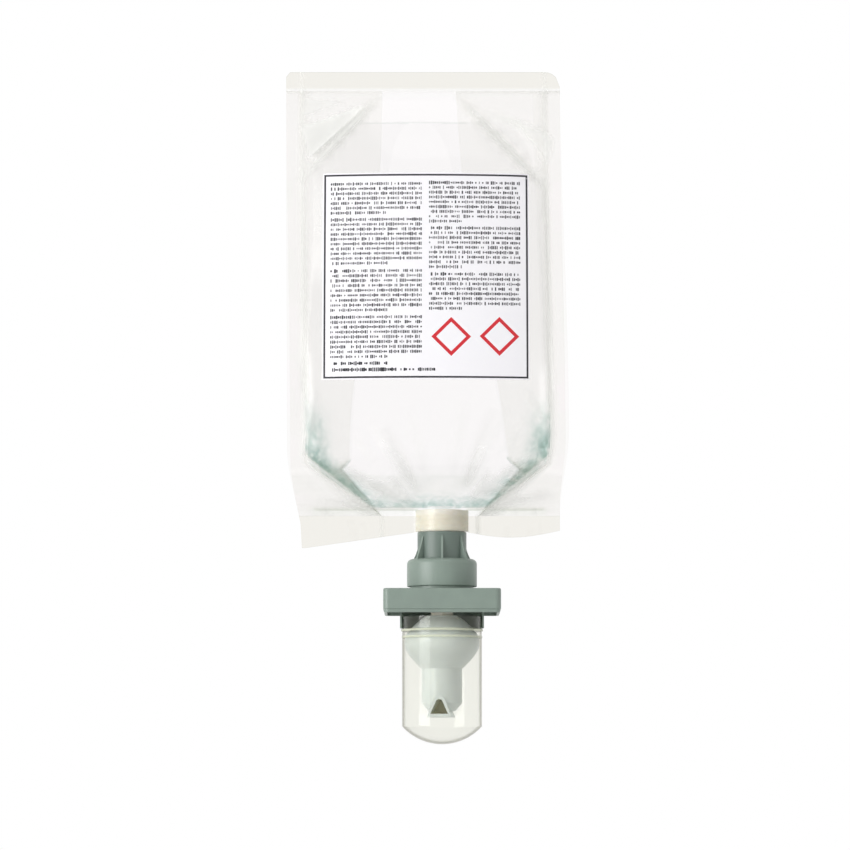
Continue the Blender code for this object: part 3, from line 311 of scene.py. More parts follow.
@dataclass(frozen=True)
class PrintedStock:
    """A smooth coated label stock or its ink: nearly flat colour with a soft satin and a faint tooth."""

    name: str
    colour: str
    shade: str
    roughness: float
    tooth: float = 1.2 * MM

    def material(self) -> bpy.types.Material:
        """Build the finish; its tooth is drawn far coarser than the real one so that it shows."""
        made, tree = new_material(self.name)
        place = add_node(tree, "ShaderNodeTexCoord").outputs["Object"]
        tooth = add_node(tree, "ShaderNodeTexNoise", {"Vector": place, "Scale": 1.0 / self.tooth, "Detail": 3.0})
        tone = add_node(tree, "ShaderNodeMix", {
            "Factor": tooth.outputs["Fac"], "A": linear(self.shade), "B": linear(self.colour)}, data_type="RGBA")
        bump = add_node(tree, "ShaderNodeBump", {
            "Height": tooth.outputs["Fac"], "Strength": 0.1, "Distance": 0.03 * MM})
        shader = add_node(tree, "ShaderNodeBsdfPrincipled", {
            "Base Color": tone.outputs["Result"], "Roughness": self.roughness, "Normal": bump.outputs["Normal"]})
        add_node(tree, "ShaderNodeOutputMaterial", {"Surface": shader.outputs["BSDF"]})
        return made


@dataclass(frozen=True)
class DrawnSteel:
    """Drawn stainless wire: bright, with fine lengthwise streaks."""

    name: str = "drawn_stainless_wire"
    colour: str = "#b9babb"

    def material(self) -> bpy.types.Material:
        """Build the finish with streaks about half a millimetre apart."""
        made, tree = new_material(self.name)
        place = add_node(tree, "ShaderNodeTexCoord").outputs["Object"]
        streaks = add_node(tree, "ShaderNodeTexNoise", {"Vector": place, "Scale": 2000.0, "Detail": 2.0})
        polish = add_node(tree, "ShaderNodeMapRange", {
            "Value": streaks.outputs["Fac"], "To Min": 0.18, "To Max": 0.34})
        shader = add_node(tree, "ShaderNodeBsdfPrincipled", {
            "Base Color": linear(self.colour), "Metallic": 1.0, "Roughness": polish.outputs["Result"]})
        add_node(tree, "ShaderNodeOutputMaterial", {"Surface": shader.outputs["BSDF"]})
        return made


def placed(name: str, data: bpy.types.ID) -> bpy.types.Object:
    """Put an object with its data into the scene."""
    made = bpy.data.objects.new(name, data)
    bpy.context.scene.collection.objects.link(made)
    return made


def evaluated(piece: bpy.types.Object) -> bpy.types.Mesh:
    """Keep what a piece's modifiers give as a new plain mesh."""
    bpy.context.view_layer.update()
    graph = bpy.context.evaluated_depsgraph_get()
    return bpy.data.meshes.new_from_object(piece.evaluated_get(graph))


def mesh_piece(name: str, shape: bmesh.types.BMesh, finish: bpy.types.Material,
               crisp: float = CRISP) -> bpy.types.Object:
    """Turn a bmesh into a piece at the origin, smooth between sharp edges.

    Args:
        name: The piece's name.
        shape: Its bmesh, which is freed.
        finish: Its material.
        crisp: Edges that turn more than this many degrees stay sharp.

    Returns:
        The new object.
    """
    bmesh.ops.recalc_face_normals(shape, faces=shape.faces[:])
    mesh = bpy.data.meshes.new(name)
    shape.to_mesh(mesh)
    shape.free()
    mesh.shade_smooth()
    mesh.set_sharp_from_angle(angle=math.radians(crisp))
    mesh.materials.append(finish)
    return placed(name, mesh)


def carry(piece: bpy.types.Object, name: str, rule: Callable[[Vector], float]) -> None:
    """Store a number at every point of a piece's mesh.

    Args:
        piece: The piece.
        name: The attribute's name.
        rule: Gives the number for a place.
    """
    values = [rule(vertex.co) for vertex in piece.data.vertices]
    layer = piece.data.attributes.new(name, "FLOAT", "POINT")
    layer.data.foreach_set("value", values)


def turned(outline: Outline, segments: int = 96, closed: bool = True) -> bmesh.types.BMesh:
    """Spin an outline of (radius, height) points about the Z axis.

    Args:
        outline: The points; an open outline starts and ends on the axis.
        segments: Steps round the circle.
        closed: True for a ring-shaped section.

    Returns:
        The turned shape.
    """
    shape = bmesh.new()
    points = [shape.verts.new((radius, 0.0, height)) for radius, height in outline]
    edges = [shape.edges.new(pair) for pair in zip(points, points[1:])]
    if closed:
        edges.append(shape.edges.new((points[-1], points[0])))
    bmesh.ops.spin(shape, geom=points + edges, cent=(0.0, 0.0, 0.0), axis=(0.0, 0.0, 1.0),
                   angle=2.0 * math.pi, steps=segments)
    bmesh.ops.remove_doubles(shape, verts=shape.verts[:], dist=0.001 * MM)
    return shape


def band(shape: bmesh.types.BMesh, lower: list[bmesh.types.BMVert], upper: list[bmesh.types.BMVert]) -> None:
    """Join two closed rings of equal vertex counts with faces."""
    for index in range(len(lower)):
        after = (index + 1) % len(lower)
        shape.faces.new((lower[index], lower[after], upper[after], upper[index]))


def lofted(loops: Sequence[Sequence[Point]], paired: bool = False, capped: bool = True) -> bmesh.types.BMesh:
    """Join closed loops of equal point counts one after the other.

    Args:
        loops: The loops in order.
        paired: True where each front point has a back point straight behind it.
        capped: True to close both ends.

    Returns:
        The lofted shape.
    """
    shape = bmesh.new()
    rings = [[shape.verts.new(point) for point in loop] for loop in loops]
    for lower, upper in zip(rings, rings[1:]):
        band(shape, lower, upper)
    if not capped:
        return shape
    for ring in (rings[0], rings[-1]):
        if not paired:
            shape.faces.new(ring)
            continue
        for index in range(len(ring) // 2 - 1):
            shape.faces.new((ring[index], ring[index + 1], ring[-index - 2], ring[-index - 1]))
    return shape


def grown(name: str, tree: bpy.types.GeometryNodeTree, values: dict) -> bpy.types.Mesh:
    """Run a node tree with its named inputs set and keep the result as a plain mesh.

    Args:
        name: Name of the carrier, which is deleted.
        tree: The Geometry Nodes tree.
        values: The inputs by name.

    Returns:
        The mesh.
    """
    carrier = placed(name, bpy.data.meshes.new(name))
    step = carrier.modifiers.new(name, "NODES")
    step.node_group = tree
    for item in tree.interface.items_tree:
        if item.in_out == "INPUT":
            step[item.identifier] = values[item.name]
    made = evaluated(carrier)
    bpy.data.objects.remove(carrier, do_unlink=True)
    return made


def arc(centre: tuple[float, float], radius: float, start: float, end: float, steps: int = 6) -> Outline:
    """Points of a circular arc; start and end are in degrees, counted from the first axis."""
    points = []
    for step in range(steps + 1):
        angle = math.radians(mix(start, end, step / steps))
        points.append((centre[0] + radius * math.cos(angle), centre[1] + radius * math.sin(angle)))
    return points


def combine(target: bpy.types.Object, tool: bpy.types.Object, operation: str) -> None:
    """Cut or join a tool into a piece, keep the result as its mesh and delete the tool.

    Args:
        target: The piece that changes.
        tool: The tool, which is deleted.
        operation: UNION or DIFFERENCE.
    """
    step = target.modifiers.new("combine", "BOOLEAN")
    step.operation = operation
    step.solver = "EXACT"
    step.object = tool
    result = evaluated(target)
    target.modifiers.clear()
    target.data = result
    bpy.data.objects.remove(tool, do_unlink=True)
    result.set_sharp_from_angle(angle=math.radians(CRISP))


def report(piece: bpy.types.Object, body: Body, slot: str, *nodes: str) -> None:
    """Let a piece ride on a body, hide the CAD nodes that it stands for, and log it.

    Args:
        piece: The finished piece.
        body: The body that it rides on.
        slot: Not used.
        *nodes: The CAD nodes that it replaces.
    """
    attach(piece, body.value)
    if nodes:
        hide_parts(*nodes)
    LOG.info("%s rides on %s with %d faces", piece.name, body.value, len(piece.data.polygons))


@dataclass(frozen=True)
class Row:
    """One horizontal cross-section of the pouch."""

    height: float
    left: float
    right: float
    corner_left: float
    corner_right: float
    depth: float
    ends: float


@dataclass(frozen=True)
class PouchForm:
    """The pouch's form: side edges, gussets, corner seals, folds and the bulge of its panels."""

    top: float = 224.9 * MM
    left_edge: tuple[float, float, float] = (-64.6 * MM, -63.3 * MM, -56.6 * MM)
    left_heights: Pair = (68.0 * MM, 22.0 * MM)
    right_edge: tuple[float, float, float] = (48.9 * MM, 51.7 * MM, 48.6 * MM)
    right_heights: Pair = (74.0 * MM, 42.0 * MM)
    fin: float = 6.5 * MM
    film: float = 0.25 * MM
    top_seal: float = 217.0 * MM
    bottom_seal: float = 40.4 * MM
    fullest: float = 66.0 * MM
    gusset_depth: float = 26.0 * MM
    sealed_depth: float = 0.4 * MM
    fold_left: float = -24.8 * MM
    fold_right_top: float = 5.4 * MM
    fold_right_foot: float = 14.8 * MM
    corner_seal: float = 64.0 * MM
    swell: float = 7.0 * MM
    swell_run: float = 30.0 * MM
    fold_slope: float = 1.07
    fold_rise: float = 0.45
    fold_softness: float = 1.2 * MM
    crown_power: float = 0.8
    upper_power: float = 1.2
    lower_power: float = 0.85
    fullest_depth: float = 33.1 * MM
    tautness: float = 0.96
    boat_radius: float = 9.3 * MM
    boat_bottom: float = 34.0 * MM
    boat_top: float = 42.8 * MM
    wing_reach: float = 10.9 * MM
    wing_root: float = 2.2 * MM
    wing_tip: float = 0.5 * MM
    seat: float = 0.3 * MM
    left_ear: float = 27.2 * MM
    right_ear: float = 34.4 * MM
    right_sag: float = 2.6 * MM
    top_radius: tuple[float, float] = (2.0 * MM, 6.2 * MM)
    label_box: tuple[float, float, float, float] = (-49.1 * MM, 35.8 * MM, 94.3 * MM, 181.2 * MM)

    def edge(self, side: Side, height: float) -> float:
        """X of the outer side edge at a height."""
        top, hip, foot = self.left_edge if side is Side.LEFT else self.right_edge
        high, low = self.left_heights if side is Side.LEFT else self.right_heights
        if height > high:
            return mix(hip, top, ease((height - high) / (self.top - high)))
        return mix(hip, foot, ease((high - height) / (high - low)))

    def fold(self, side: Side, height: float) -> float:
        """X of the gusset's centre fold where it lies flat."""
        if side is Side.LEFT:
            return self.fold_left
        share = (self.top - height) / (self.top - self.bottom_seal)
        return mix(self.fold_right_top, self.fold_right_foot, share)

    def corner(self, side: Side, height: float) -> float:
        """X where the panel leaves its gusset: the fin's inner line, then the corner seal."""
        fin_line = self.edge(side, height) - side.value * self.fin
        if height >= self.corner_seal:
            return fin_line
        start = self.edge(side, self.corner_seal) - side.value * self.fin
        share = (self.corner_seal - height) / (self.corner_seal - self.bottom_seal)
        return mix(start, self.fold(side, self.bottom_seal), min(1.0, share))

    def gusset(self, side: Side, height: float) -> float:
        """Width of half the gusset at a height."""
        return abs(self.corner(side, height) - self.fold(side, height))

    def half_depth(self, height: float) -> float:
        """Half the pouch's depth at its corners."""
        if height >= self.fullest:
            share = (self.top_seal - height) / (self.top_seal - self.fullest)
            opened = self.gusset_depth * math.sin(0.5 * math.pi * max(0.0, share)) ** self.upper_power
        else:
            share = (self.fullest - height) / (self.fullest - self.bottom_seal)
            opened = self.gusset_depth * max(0.0, math.cos(0.5 * math.pi * min(1.0, share))) ** self.lower_power
        taut = self.tautness * min(self.gusset(Side.LEFT, height), self.gusset(Side.RIGHT, height))
        return max(self.sealed_depth, min(opened, taut))

    def row(self, height: float) -> Row:
        """Work out a cross-section's edges, corners and depth once."""
        ends = ease((self.top_seal - height) / self.swell_run) * ease((height - self.boat_top) / self.swell_run)
        return Row(
            height,
            self.edge(Side.LEFT, height),
            self.edge(Side.RIGHT, height),
            self.corner(Side.LEFT, height),
            self.corner(Side.RIGHT, height),
            self.half_depth(height),
            ends,
        )

    def boat_half(self, x: float, grow: float) -> float:
        """Half the spout boat's thickness at x, grown by a gap."""
        reach = abs(x)
        radius = self.boat_radius + grow
        if reach > self.wing_reach + grow + 0.01 * MM:
            return 0.0
        body = math.sqrt(max(0.0, radius * radius - reach * reach))
        share = min(1.0, max(0.0, (reach - self.boat_radius) / (self.wing_reach - self.boat_radius)))
        return max(body, mix(self.wing_root, self.wing_tip, share) + grow)

    def bulge(self, x: float, row: Row) -> float:
        """How far a panel stands out between its corners, creased along the slanted top folds."""
        across = (2.0 * x - row.corner_left - row.corner_right) / (row.corner_right - row.corner_left)
        crown = max(0.0, 1.0 - across * across) ** self.crown_power
        outside = max(0.0, self.fold_left - x, x - self.fold_right_top)
        under_fold = max(0.0, self.top_seal - self.fold_slope * outside - row.height)
        swollen = self.swell * crown * row.ends
        folded = self.fold_rise * under_fold
        gap = math.hypot(swollen - folded, self.fold_softness)
        return max(0.0, 0.5 * (swollen + folded - gap))

    def panel(self, x: float, row: Row, wall: float) -> float:
        """Distance of a panel from the middle plane, before its wrinkles."""
        if row.height <= self.boat_top + self.seat:
            return max(self.sealed_depth + wall, self.boat_half(x, self.seat + wall))
        fade = fading(row.height, self.boat_top, self.corner_seal - self.boat_top)
        wrapped = self.boat_half(x, self.seat + wall) * fade
        return max(row.depth + self.bulge(x, row) + wall, wrapped)

    def bottom_edge(self, x: float) -> float:
        """Height of the lower edge: a low left ear, a level middle and a right side that sags."""
        if x < 0.0:
            share = min(1.0, max(0.0, (-x - self.boat_radius) / (-self.left_edge[2] - self.boat_radius)))
            return mix(self.boat_bottom, self.left_ear, share)
        share = min(1.0, max(0.0, (x - self.boat_radius) / (self.right_edge[2] - self.boat_radius)))
        return mix(self.boat_bottom, self.right_ear, share) - self.right_sag * math.sin(math.pi * share)

    def top_edge(self, x: float, row: Row) -> float:
        """Height of the top edge, rounded at both corners."""
        heights = []
        for radius, inset in zip(self.top_radius, (x - row.left, row.right - x)):
            gone = max(0.0, radius - inset)
            heights.append(self.top - radius + math.sqrt(max(0.0, radius * radius - gone * gone)))
        return min(heights)


@dataclass(frozen=True)
class Crease:
    """A straight ridge or valley pressed into a panel, from one point to another, in X and Z."""

    start: tuple[float, float]
    end: tuple[float, float]
    height: float
    width: float

    def at(self, x: float, z: float) -> float:
        """Relief of the crease at a point, fading towards both ends."""
        run = (self.end[0] - self.start[0], self.end[1] - self.start[1])
        length = math.hypot(*run)
        along = ((x - self.start[0]) * run[0] + (z - self.start[1]) * run[1]) / (length * length)
        if along <= 0.0 or along >= 1.0:
            return 0.0
        across = ((x - self.start[0]) * run[1] - (z - self.start[1]) * run[0]) / length
        if abs(across) > 3.0 * self.width:
            return 0.0
        return self.height * bell(across, self.width) * math.sin(math.pi * along) ** 0.5


@dataclass(frozen=True)
class Facet:
    """A three-cornered flat of film with a painted highlight: its corners in X and Z, and how white it is."""

    corners: tuple[Pair, Pair, Pair]
    white: float
    soft: float = 2.0 * MM

    def at(self, x: float, z: float) -> float:
        """Painted highlight at a point, fading over the facet's soft rim."""
        share = 1.0
        for here, there in zip(self.corners, self.corners[1:] + self.corners[:1]):
            run = (there[0] - here[0], there[1] - here[1])
            inside = ((x - here[0]) * run[1] - (z - here[1]) * run[0]) / math.hypot(*run)
            share *= ease((inside + 0.5 * self.soft) / self.soft)
        return self.white * share


def facet(x0: float, z0: float, x1: float, z1: float, x2: float, z2: float, white: float) -> Facet:
    """Make a facet from three corners in millimetres, taken clockwise seen from the front."""
    return Facet(((x0 * MM, z0 * MM), (x1 * MM, z1 * MM), (x2 * MM, z2 * MM)), white)


def crease_set(points: Iterable[tuple[float, float, float, float, float, float]]) -> list[Crease]:
    """Make creases from rows of start x, start z, end x, end z, height and width, in millimetres."""
    made = []
    for x0, z0, x1, z1, height, width in points:
        made.append(Crease((x0 * MM, z0 * MM), (x1 * MM, z1 * MM),
                           CREASE_RISE * height * MM, CREASE_SPREAD * width * MM))
    return made


@dataclass(frozen=True)
class Ripple:
    """A smooth random relief: its height, and how often it turns per metre across and up."""

    height: float
    across: float
    up: float

    def at(self, x: float, z: float, start: float, layer: float) -> float:
        """Relief at a point, shifted sideways by a start; each layer is another pattern."""
        return self.height * noise.noise(Vector((x * self.across + start, layer, z * self.up)))


@dataclass
class Pouch:
    """The film pouch with its seals, folds and wrinkles, and the cleaner in it.

    A run is where a thing starts to fade or to set in, and how long that takes. White values are shares
    of the full painted highlight.
    """

    form: PouchForm = field(default_factory=PouchForm)
    columns: int = 128
    rows: int = 200
    gusset_steps: int = 7
    fin_columns: int = 4
    fin_steps: int = 3
    seam: float = 0.05 * MM
    seal_start: float = 3.4 * MM
    seal_end: float = 1.5 * MM
    flat_slack: float = 0.3 * MM
    gusset_sag: float = 0.9 * MM
    sag_depth: float = 10.0 * MM
    fill_level: float = 204.0 * MM
    filling_floor: float = 1.2 * MM
    filling_gap: float = 0.5 * MM
    # band, slant and fading run of the painted refraction tint
    refraction_band: float = 8.0 * MM
    refraction_slant: float = 0.6
    refraction_run: Pair = (62.0 * MM, 30.0 * MM)
    label_fade: float = 6.0 * MM
    back_shift: float = 0.7
    broad: Ripple = Ripple(0.55 * MM, 32.0, 26.0)
    fine: Ripple = Ripple(0.18 * MM, 110.0, 80.0)
    crumpled: Ripple = Ripple(0.8 * MM, 150.0, 120.0)
    crumpled_layer: float = 3.0
    crumpled_run: Pair = (50.0 * MM, 34.0 * MM)
    pleat_height: float = 0.16 * MM
    pleat_reach: float = 16.0 * MM
    pleat_waves: Pair = (420.0, 130.0)
    side_hold: float = 5.0 * MM
    top_hold: float = 9.0 * MM
    boat_hold: float = 5.0 * MM
    flutter: Ripple = Ripple(1.6 * MM, 0.0, 38.0)
    flutter_layers: Pair = (11.0, 5.0)
    flutter_run: Pair = (2.0 * MM, 8.0 * MM)
    # size and strength of the painted highlight along creases, the top seal, the corners and in spots
    white_height: float = 1.0 * MM
    white_line: float = 0.8 * MM
    white_seal: float = 0.3
    white_corner: float = 0.45
    white_spot: float = 0.35
    spots: Ripple = Ripple(1.0, 240.0, 200.0)
    spot_layers: float = 60.0
    spot_floor: float = 0.25
    spot_run: Pair = (36.0 * MM, 26.0 * MM)
    facets: tuple[Facet, ...] = ()
    front_creases: list[Crease] = field(default_factory=lambda: crease_set((
        (-25.0, 216.0, -60.0, 178.0, 0.9, 1.1),
        (-33.0, 212.0, -56.0, 190.0, -0.5, 1.6),
        (5.4, 216.0, 44.0, 175.0, 0.9, 1.1),
        (14.0, 210.0, 46.0, 196.0, -0.5, 1.4),
        (40.0, 181.0, 43.5, 160.0, 0.5, 1.2),
        (-14.0, 46.0, -46.0, 61.0, 0.9, 1.3),
        (-12.0, 50.0, -30.0, 78.0, 0.7, 1.6),
        (-11.0, 43.0, -52.0, 46.0, -0.7, 1.5),
        (-6.0, 52.0, -14.0, 84.0, 0.5, 1.8),
        (12.0, 47.0, 40.0, 66.0, 0.9, 1.3),
        (10.0, 51.0, 27.0, 84.0, 0.6, 1.7),
        (14.0, 43.0, 46.0, 49.0, -0.7, 1.4),
        (24.0, 58.0, 33.5, 56.0, 0.7, 0.8),
        (4.0, 54.0, 9.0, 86.0, 0.5, 1.8),
        (-12.0, 45.0, -22.0, 56.0, 0.9, 1.0),
        (-18.0, 52.0, -35.0, 52.5, 0.8, 1.0),
        (-16.0, 47.0, -30.0, 47.5, -0.7, 1.0),
        (-9.0, 48.0, -19.0, 66.0, -0.6, 1.1),
        (11.0, 46.0, 20.0, 58.0, 0.9, 1.0),
        (15.0, 50.0, 33.0, 51.5, 0.8, 1.0),
        (9.0, 50.0, 16.0, 70.0, -0.6, 1.1),
        (22.0, 64.0, 38.0, 78.0, 0.5, 1.3),
        (-38.0, 74.0, -28.0, 60.0, 0.5, 1.3),
        (34.0, 92.0, 44.0, 70.0, 0.6, 1.2),
        (-52.0, 92.0, -56.0, 70.0, 0.6, 1.2),
    )))
    back_creases: list[Crease] = field(default_factory=lambda: crease_set((
        (-25.0, 216.0, -60.0, 180.0, 0.9, 1.1),
        (5.4, 216.0, 44.0, 177.0, 0.9, 1.1),
        (-13.0, 46.0, -44.0, 63.0, 0.8, 1.4),
        (-9.0, 51.0, -24.0, 80.0, 0.6, 1.7),
        (12.0, 46.0, 41.0, 64.0, 0.8, 1.4),
        (8.0, 52.0, 22.0, 88.0, 0.5, 1.8),
    )))

    def label_calm(self, x: float, z: float) -> float:
        """1 away from the label and 0 under it, where the stock holds the film smooth."""
        left, right, bottom, top = self.form.label_box
        outside = max(left - x, x - right, bottom - z, z - top, 0.0)
        return ease(outside / self.label_fade)

    def relief(self, x: float, row: Row, front: bool) -> float:
        """Height of the wrinkles over the smooth panel.

        Args:
            x: Place across the panel.
            row: The cross-section.
            front: True for the panel that the label is on.

        Returns:
            Outward relief in metres.
        """
        form = self.form
        z = row.height
        if z <= form.bottom_seal or z >= form.top_seal:
            return 0.0
        shift = 0.0 if front else self.back_shift
        total = sum(crease.at(x, z) for crease in (self.front_creases if front else self.back_creases))
        total += self.broad.at(x, z, shift, shift)
        total += self.fine.at(x, z, 0.0, shift)
        total += fading(z, *self.crumpled_run) * self.crumpled.at(x, z, shift, self.crumpled_layer)
        quick, slow = self.pleat_waves
        pleats = bell(z - form.top_seal, self.pleat_reach) * math.sin(x * quick + 2.0 * math.sin(x * slow))
        total += self.pleat_height * pleats
        inside = min(x - row.corner_left, row.corner_right - x)
        held = ease(inside / self.side_hold) * ease((form.top_seal - z) / self.top_hold)
        held *= ease((z - form.boat_top) / self.boat_hold)
        return total * held * (self.label_calm(x, z) if front else 1.0)

    def surface(self, x: float, row: Row, wall: float, front: bool) -> float:
        """Distance of the wrinkled panel from the middle plane, never past the fullest part."""
        depth = self.form.panel(x, row, wall) + self.relief(x, row, front)
        return min(depth, self.form.fullest_depth + wall - self.form.film)

    def fin_wave(self, x: float, row: Row, front: bool) -> float:
        """Sideways wave of a free fin, none at its inner line and none where the fins meet."""
        form = self.form
        start, run = self.flutter_run
        free = ease((row.depth - start) / run)
        reach = max(row.left + form.fin - x, x - row.right + form.fin, 0.0) / form.fin
        layer = self.flutter_layers[0] if front else self.flutter_layers[1]
        return self.flutter.at(x, row.height, math.copysign(layer, x), layer) * ease(reach) * free

    @property
    def path_points(self) -> int:
        """Points of one gusset's path: two fins and two half gussets, with the fold between them."""
        return 2 * (self.fin_steps + self.gusset_steps) + 1

    def skin_loop(self, height: float, lower: bool = False, upper: bool = False) -> list[Point]:
        """One loop of the outer skin with both gussets folded in.

        Args:
            height: The cross-section's height.
            lower: True for the lower edge.
            upper: True for the top edge.

        Returns:
            The loop's points: front, right gusset, back, left gusset.
        """
        form = self.form
        row = form.row(height)
        inner_left = row.left + form.fin
        inner_right = row.right - form.fin
        fin_stations = [form.fin * step / self.fin_columns for step in range(self.fin_columns + 1)]
        stations = [row.left + inset for inset in fin_stations[:-1]]
        stations += [mix(inner_left, inner_right, step / self.columns) for step in range(self.columns + 1)]
        stations += [inner_right + inset for inset in fin_stations[1:]]

        def lift(x: float) -> float:
            if lower:
                return form.bottom_edge(x)
            if upper:
                return form.top_edge(x, row)
            return height

        def on_fin(x: float) -> bool:
            return x < inner_left - 0.01 * MM or x > inner_right + 0.01 * MM

        def panel_points(front: bool) -> list[Point]:
            points = []
            for x in stations:
                if on_fin(x):
                    depth = row.depth + form.film + self.fin_wave(x, row, front)
                else:
                    depth = self.surface(x, row, form.film, front)
                points.append((x, -depth if front else depth, lift(x)))
            return points

        open_sides = form.bottom_seal < height < form.top_seal
        front = panel_points(True)
        back = panel_points(False)[::-1]
        right = self.gusset_path(Side.RIGHT, row, open_sides, lift)
        left = self.gusset_path(Side.LEFT, row, open_sides, lift)
        return front + right + back + left[::-1]

    def gusset_path(self, side: Side, row: Row, opened: bool, lift: Callable[[float], float]) -> list[Point]:
        """Points from the front fin's inner face over the gusset's fold to the back fin's.

        Args:
            side: Which gusset.
            row: The cross-section.
            opened: False at the seals, where the path runs straight across the side edge.
            lift: Height of a point by its X.

        Returns:
            The path's points from front to back.
        """
        form = self.form
        edge = row.left if side is Side.LEFT else row.right
        corner = row.corner_left if side is Side.LEFT else row.corner_right
        if not opened:
            half = form.sealed_depth + form.film
            count = self.path_points
            return [(edge, mix(-half, half, (step + 1) / (count + 1)), lift(edge)) for step in range(count)]
        depth = row.depth - form.film
        length = form.gusset(side, row.height)
        run = math.sqrt(max(0.0, length * length - row.depth * row.depth))
        crease = corner - side.value * run
        front = []
        back = []
        for step in range(self.fin_steps):
            x = mix(edge, corner, step / self.fin_steps)
            front.append((x, -(depth + self.fin_wave(x, row, True)), row.height))
            back.append((x, depth + self.fin_wave(x, row, False), row.height))
        for step in range(self.gusset_steps):
            share = step / self.gusset_steps
            x = mix(corner, crease, share)
            sag = self.gusset_sag * math.sin(math.pi * share) * min(1.0, depth / self.sag_depth)
            near = depth * (1.0 - share) - sag
            front.append((x, -near, row.height))
            back.append((x, near, row.height))
        return front + [(crease, 0.0, row.height)] + back[::-1]

    def inside_loop(self, height: float, inset: float) -> list[Point]:
        """One loop of the space inside the film, moved in by an inset.

        Args:
            height: The cross-section's height.
            inset: Gap to the film's inner face.

        Returns:
            The loop's points.
        """
        form = self.form
        row = form.row(height)
        corners = []
        creases = []
        for side in (Side.LEFT, Side.RIGHT):
            length = form.gusset(side, height)
            lean = 0.5 * math.asin(min(1.0, row.depth / length))
            corner = form.corner(side, height)
            run = math.sqrt(max(0.0, length * length - row.depth * row.depth))
            corners.append(corner - side.value * inset / math.tan(lean))
            creases.append(corner - side.value * (run + (form.film + inset) * length / row.depth))
        stations = [mix(corners[0], corners[1], step / self.columns) for step in range(self.columns + 1)]
        front = [(x, inset - self.surface(x, row, 0.0, True), height) for x in stations]
        back = [(x, self.surface(x, row, 0.0, False) - inset, height) for x in reversed(stations)]
        right = self.wall_points(front[-1], (creases[1], 0.0, height), back[0])
        left = self.wall_points(back[-1], (creases[0], 0.0, height), front[0])
        return front + right + back + left

    def wall_points(self, start: Point, fold: Point, end: Point) -> list[Point]:
        """Points of a gusset wall from one corner over the fold to the other, corners left out."""
        points = []
        for near, far in ((start, fold), (fold, end)):
            for step in range(1, self.gusset_steps):
                share = step / self.gusset_steps
                points.append(tuple(mix(a, b, share) for a, b in zip(near, far)))
            points.append(far)
        return points[:-1]

    def heights(self, low: float, high: float) -> list[float]:
        """Evenly spaced heights between two levels, at the pouch's row pitch."""
        count = max(2, int(self.rows * (high - low) / self.form.top))
        return [mix(low, high, step / count) for step in range(count + 1)]

    def build(self, film: bpy.types.Material, cleaner: bpy.types.Material) -> None:
        """Make the film skin and the cleaner, and hand both over."""
        form = self.form
        levels = self.heights(form.bottom_seal - self.seal_start, form.bottom_seal)
        levels += self.heights(form.bottom_seal + self.seam, form.top_seal - self.seam)
        levels += [form.top_seal, form.top_seal + self.seal_end]
        loops = [self.skin_loop(form.boat_bottom, lower=True)]
        loops += [self.skin_loop(height) for height in levels]
        loops.append(self.skin_loop(form.top, upper=True))
        skin = mesh_piece("film_pouch", self.closed_skin(loops), film, crisp=48.0)
        carry(skin, "plies", self.plies)
        # painted highlight along creases, the top seal, the corner lines, facets and spots
        carry(skin, "painted_highlight", self.painted_highlight)
        report(skin, Body.ROOT, "clear_film", "pouch_film")

        levels = self.heights(form.boat_top + self.filling_floor, self.fill_level)
        filling = lofted([self.inside_loop(height, self.filling_gap) for height in levels], capped=False)
        self.close_levels(filling, 0.5 * self.fill_level)
        liquid = mesh_piece("cleaner_filling", filling, cleaner, crisp=60.0)
        # painted blue-green refraction tint along the filling's lower edge
        carry(liquid, "painted_refraction", self.refraction_share)
        report(liquid, Body.ROOT, "cleaner", "cleaner_liquid")

    def plies(self, place: Vector) -> float:
        """2 on the seals, 1 on the folded gusset walls and inside the fins, 0 on the panels."""
        if not self.form.bottom_seal < place.z < self.form.top_seal:
            return 2.0
        row = self.form.row(place.z)
        return 1.0 if abs(place.y) < row.depth + 0.02 * MM - 0.5 * self.form.film else 0.0

    def painted_highlight(self, place: Vector) -> float:
        """Painted highlight on the film at a place: along creases, the top seal, the corner lines, the facets and
        spots.
        """
        form = self.form
        row = form.row(min(form.top_seal, max(form.bottom_seal, place.z)))
        total = 0.0
        for crease in self.front_creases if place.y < 0.0 else self.back_creases:
            total += abs(crease.at(place.x, place.z)) / self.white_height
        total += self.white_seal * bell(place.z - form.top_seal, self.white_line)
        for line in (row.corner_left, row.corner_right):
            total += self.white_corner * bell(place.x - line, self.white_line)
        if place.y < 0.0:
            total += sum(flat.at(place.x, place.z) for flat in self.facets)
        spots = self.spots.at(place.x, place.z, 0.0, place.y * self.spot_layers)
        total += self.white_spot * fading(place.z, *self.spot_run) * max(0.0, spots - self.spot_floor)
        return min(1.0, total)

    def refraction_share(self, place: Vector) -> float:
        """How much painted refraction tint shows: a band along the filling's lower edge."""
        form = self.form
        row = form.row(place.z)
        across = min(place.x - row.corner_left, row.corner_right - place.x)
        inside = min(self.refraction_slant * across, place.z - form.boat_top)
        return fading(inside, 0.0, self.refraction_band) * fading(place.z, *self.refraction_run)

    def closed_skin(self, loops: list[list[Point]]) -> bmesh.types.BMesh:
        """Loft the skin and close its lower and top edges across the seals, but not over the spout."""
        shape = lofted(loops, capped=False)
        shape.verts.ensure_lookup_table()
        count = len(loops[0])
        path = self.path_points
        wide = (count - 2 * path) // 2
        flat = self.form.sealed_depth + self.form.film + self.flat_slack
        for first in (0, count * (len(loops) - 1)):
            ring = shape.verts[first:first + count]
            front = ring[:wide]
            right = ring[wide:wide + path]
            back = ring[wide + path:2 * wide + path][::-1]
            left = ring[2 * wide + path:]
            shape.faces.new([front[1], front[0], *reversed(left), back[0], back[1]])
            for index in range(1, wide - 2):
                if min(-front[index].co.y, -front[index + 1].co.y) < flat:
                    shape.faces.new((front[index], front[index + 1], back[index + 1], back[index]))
            shape.faces.new([front[-2], front[-1], *right, back[-1], back[-2]])
        return shape

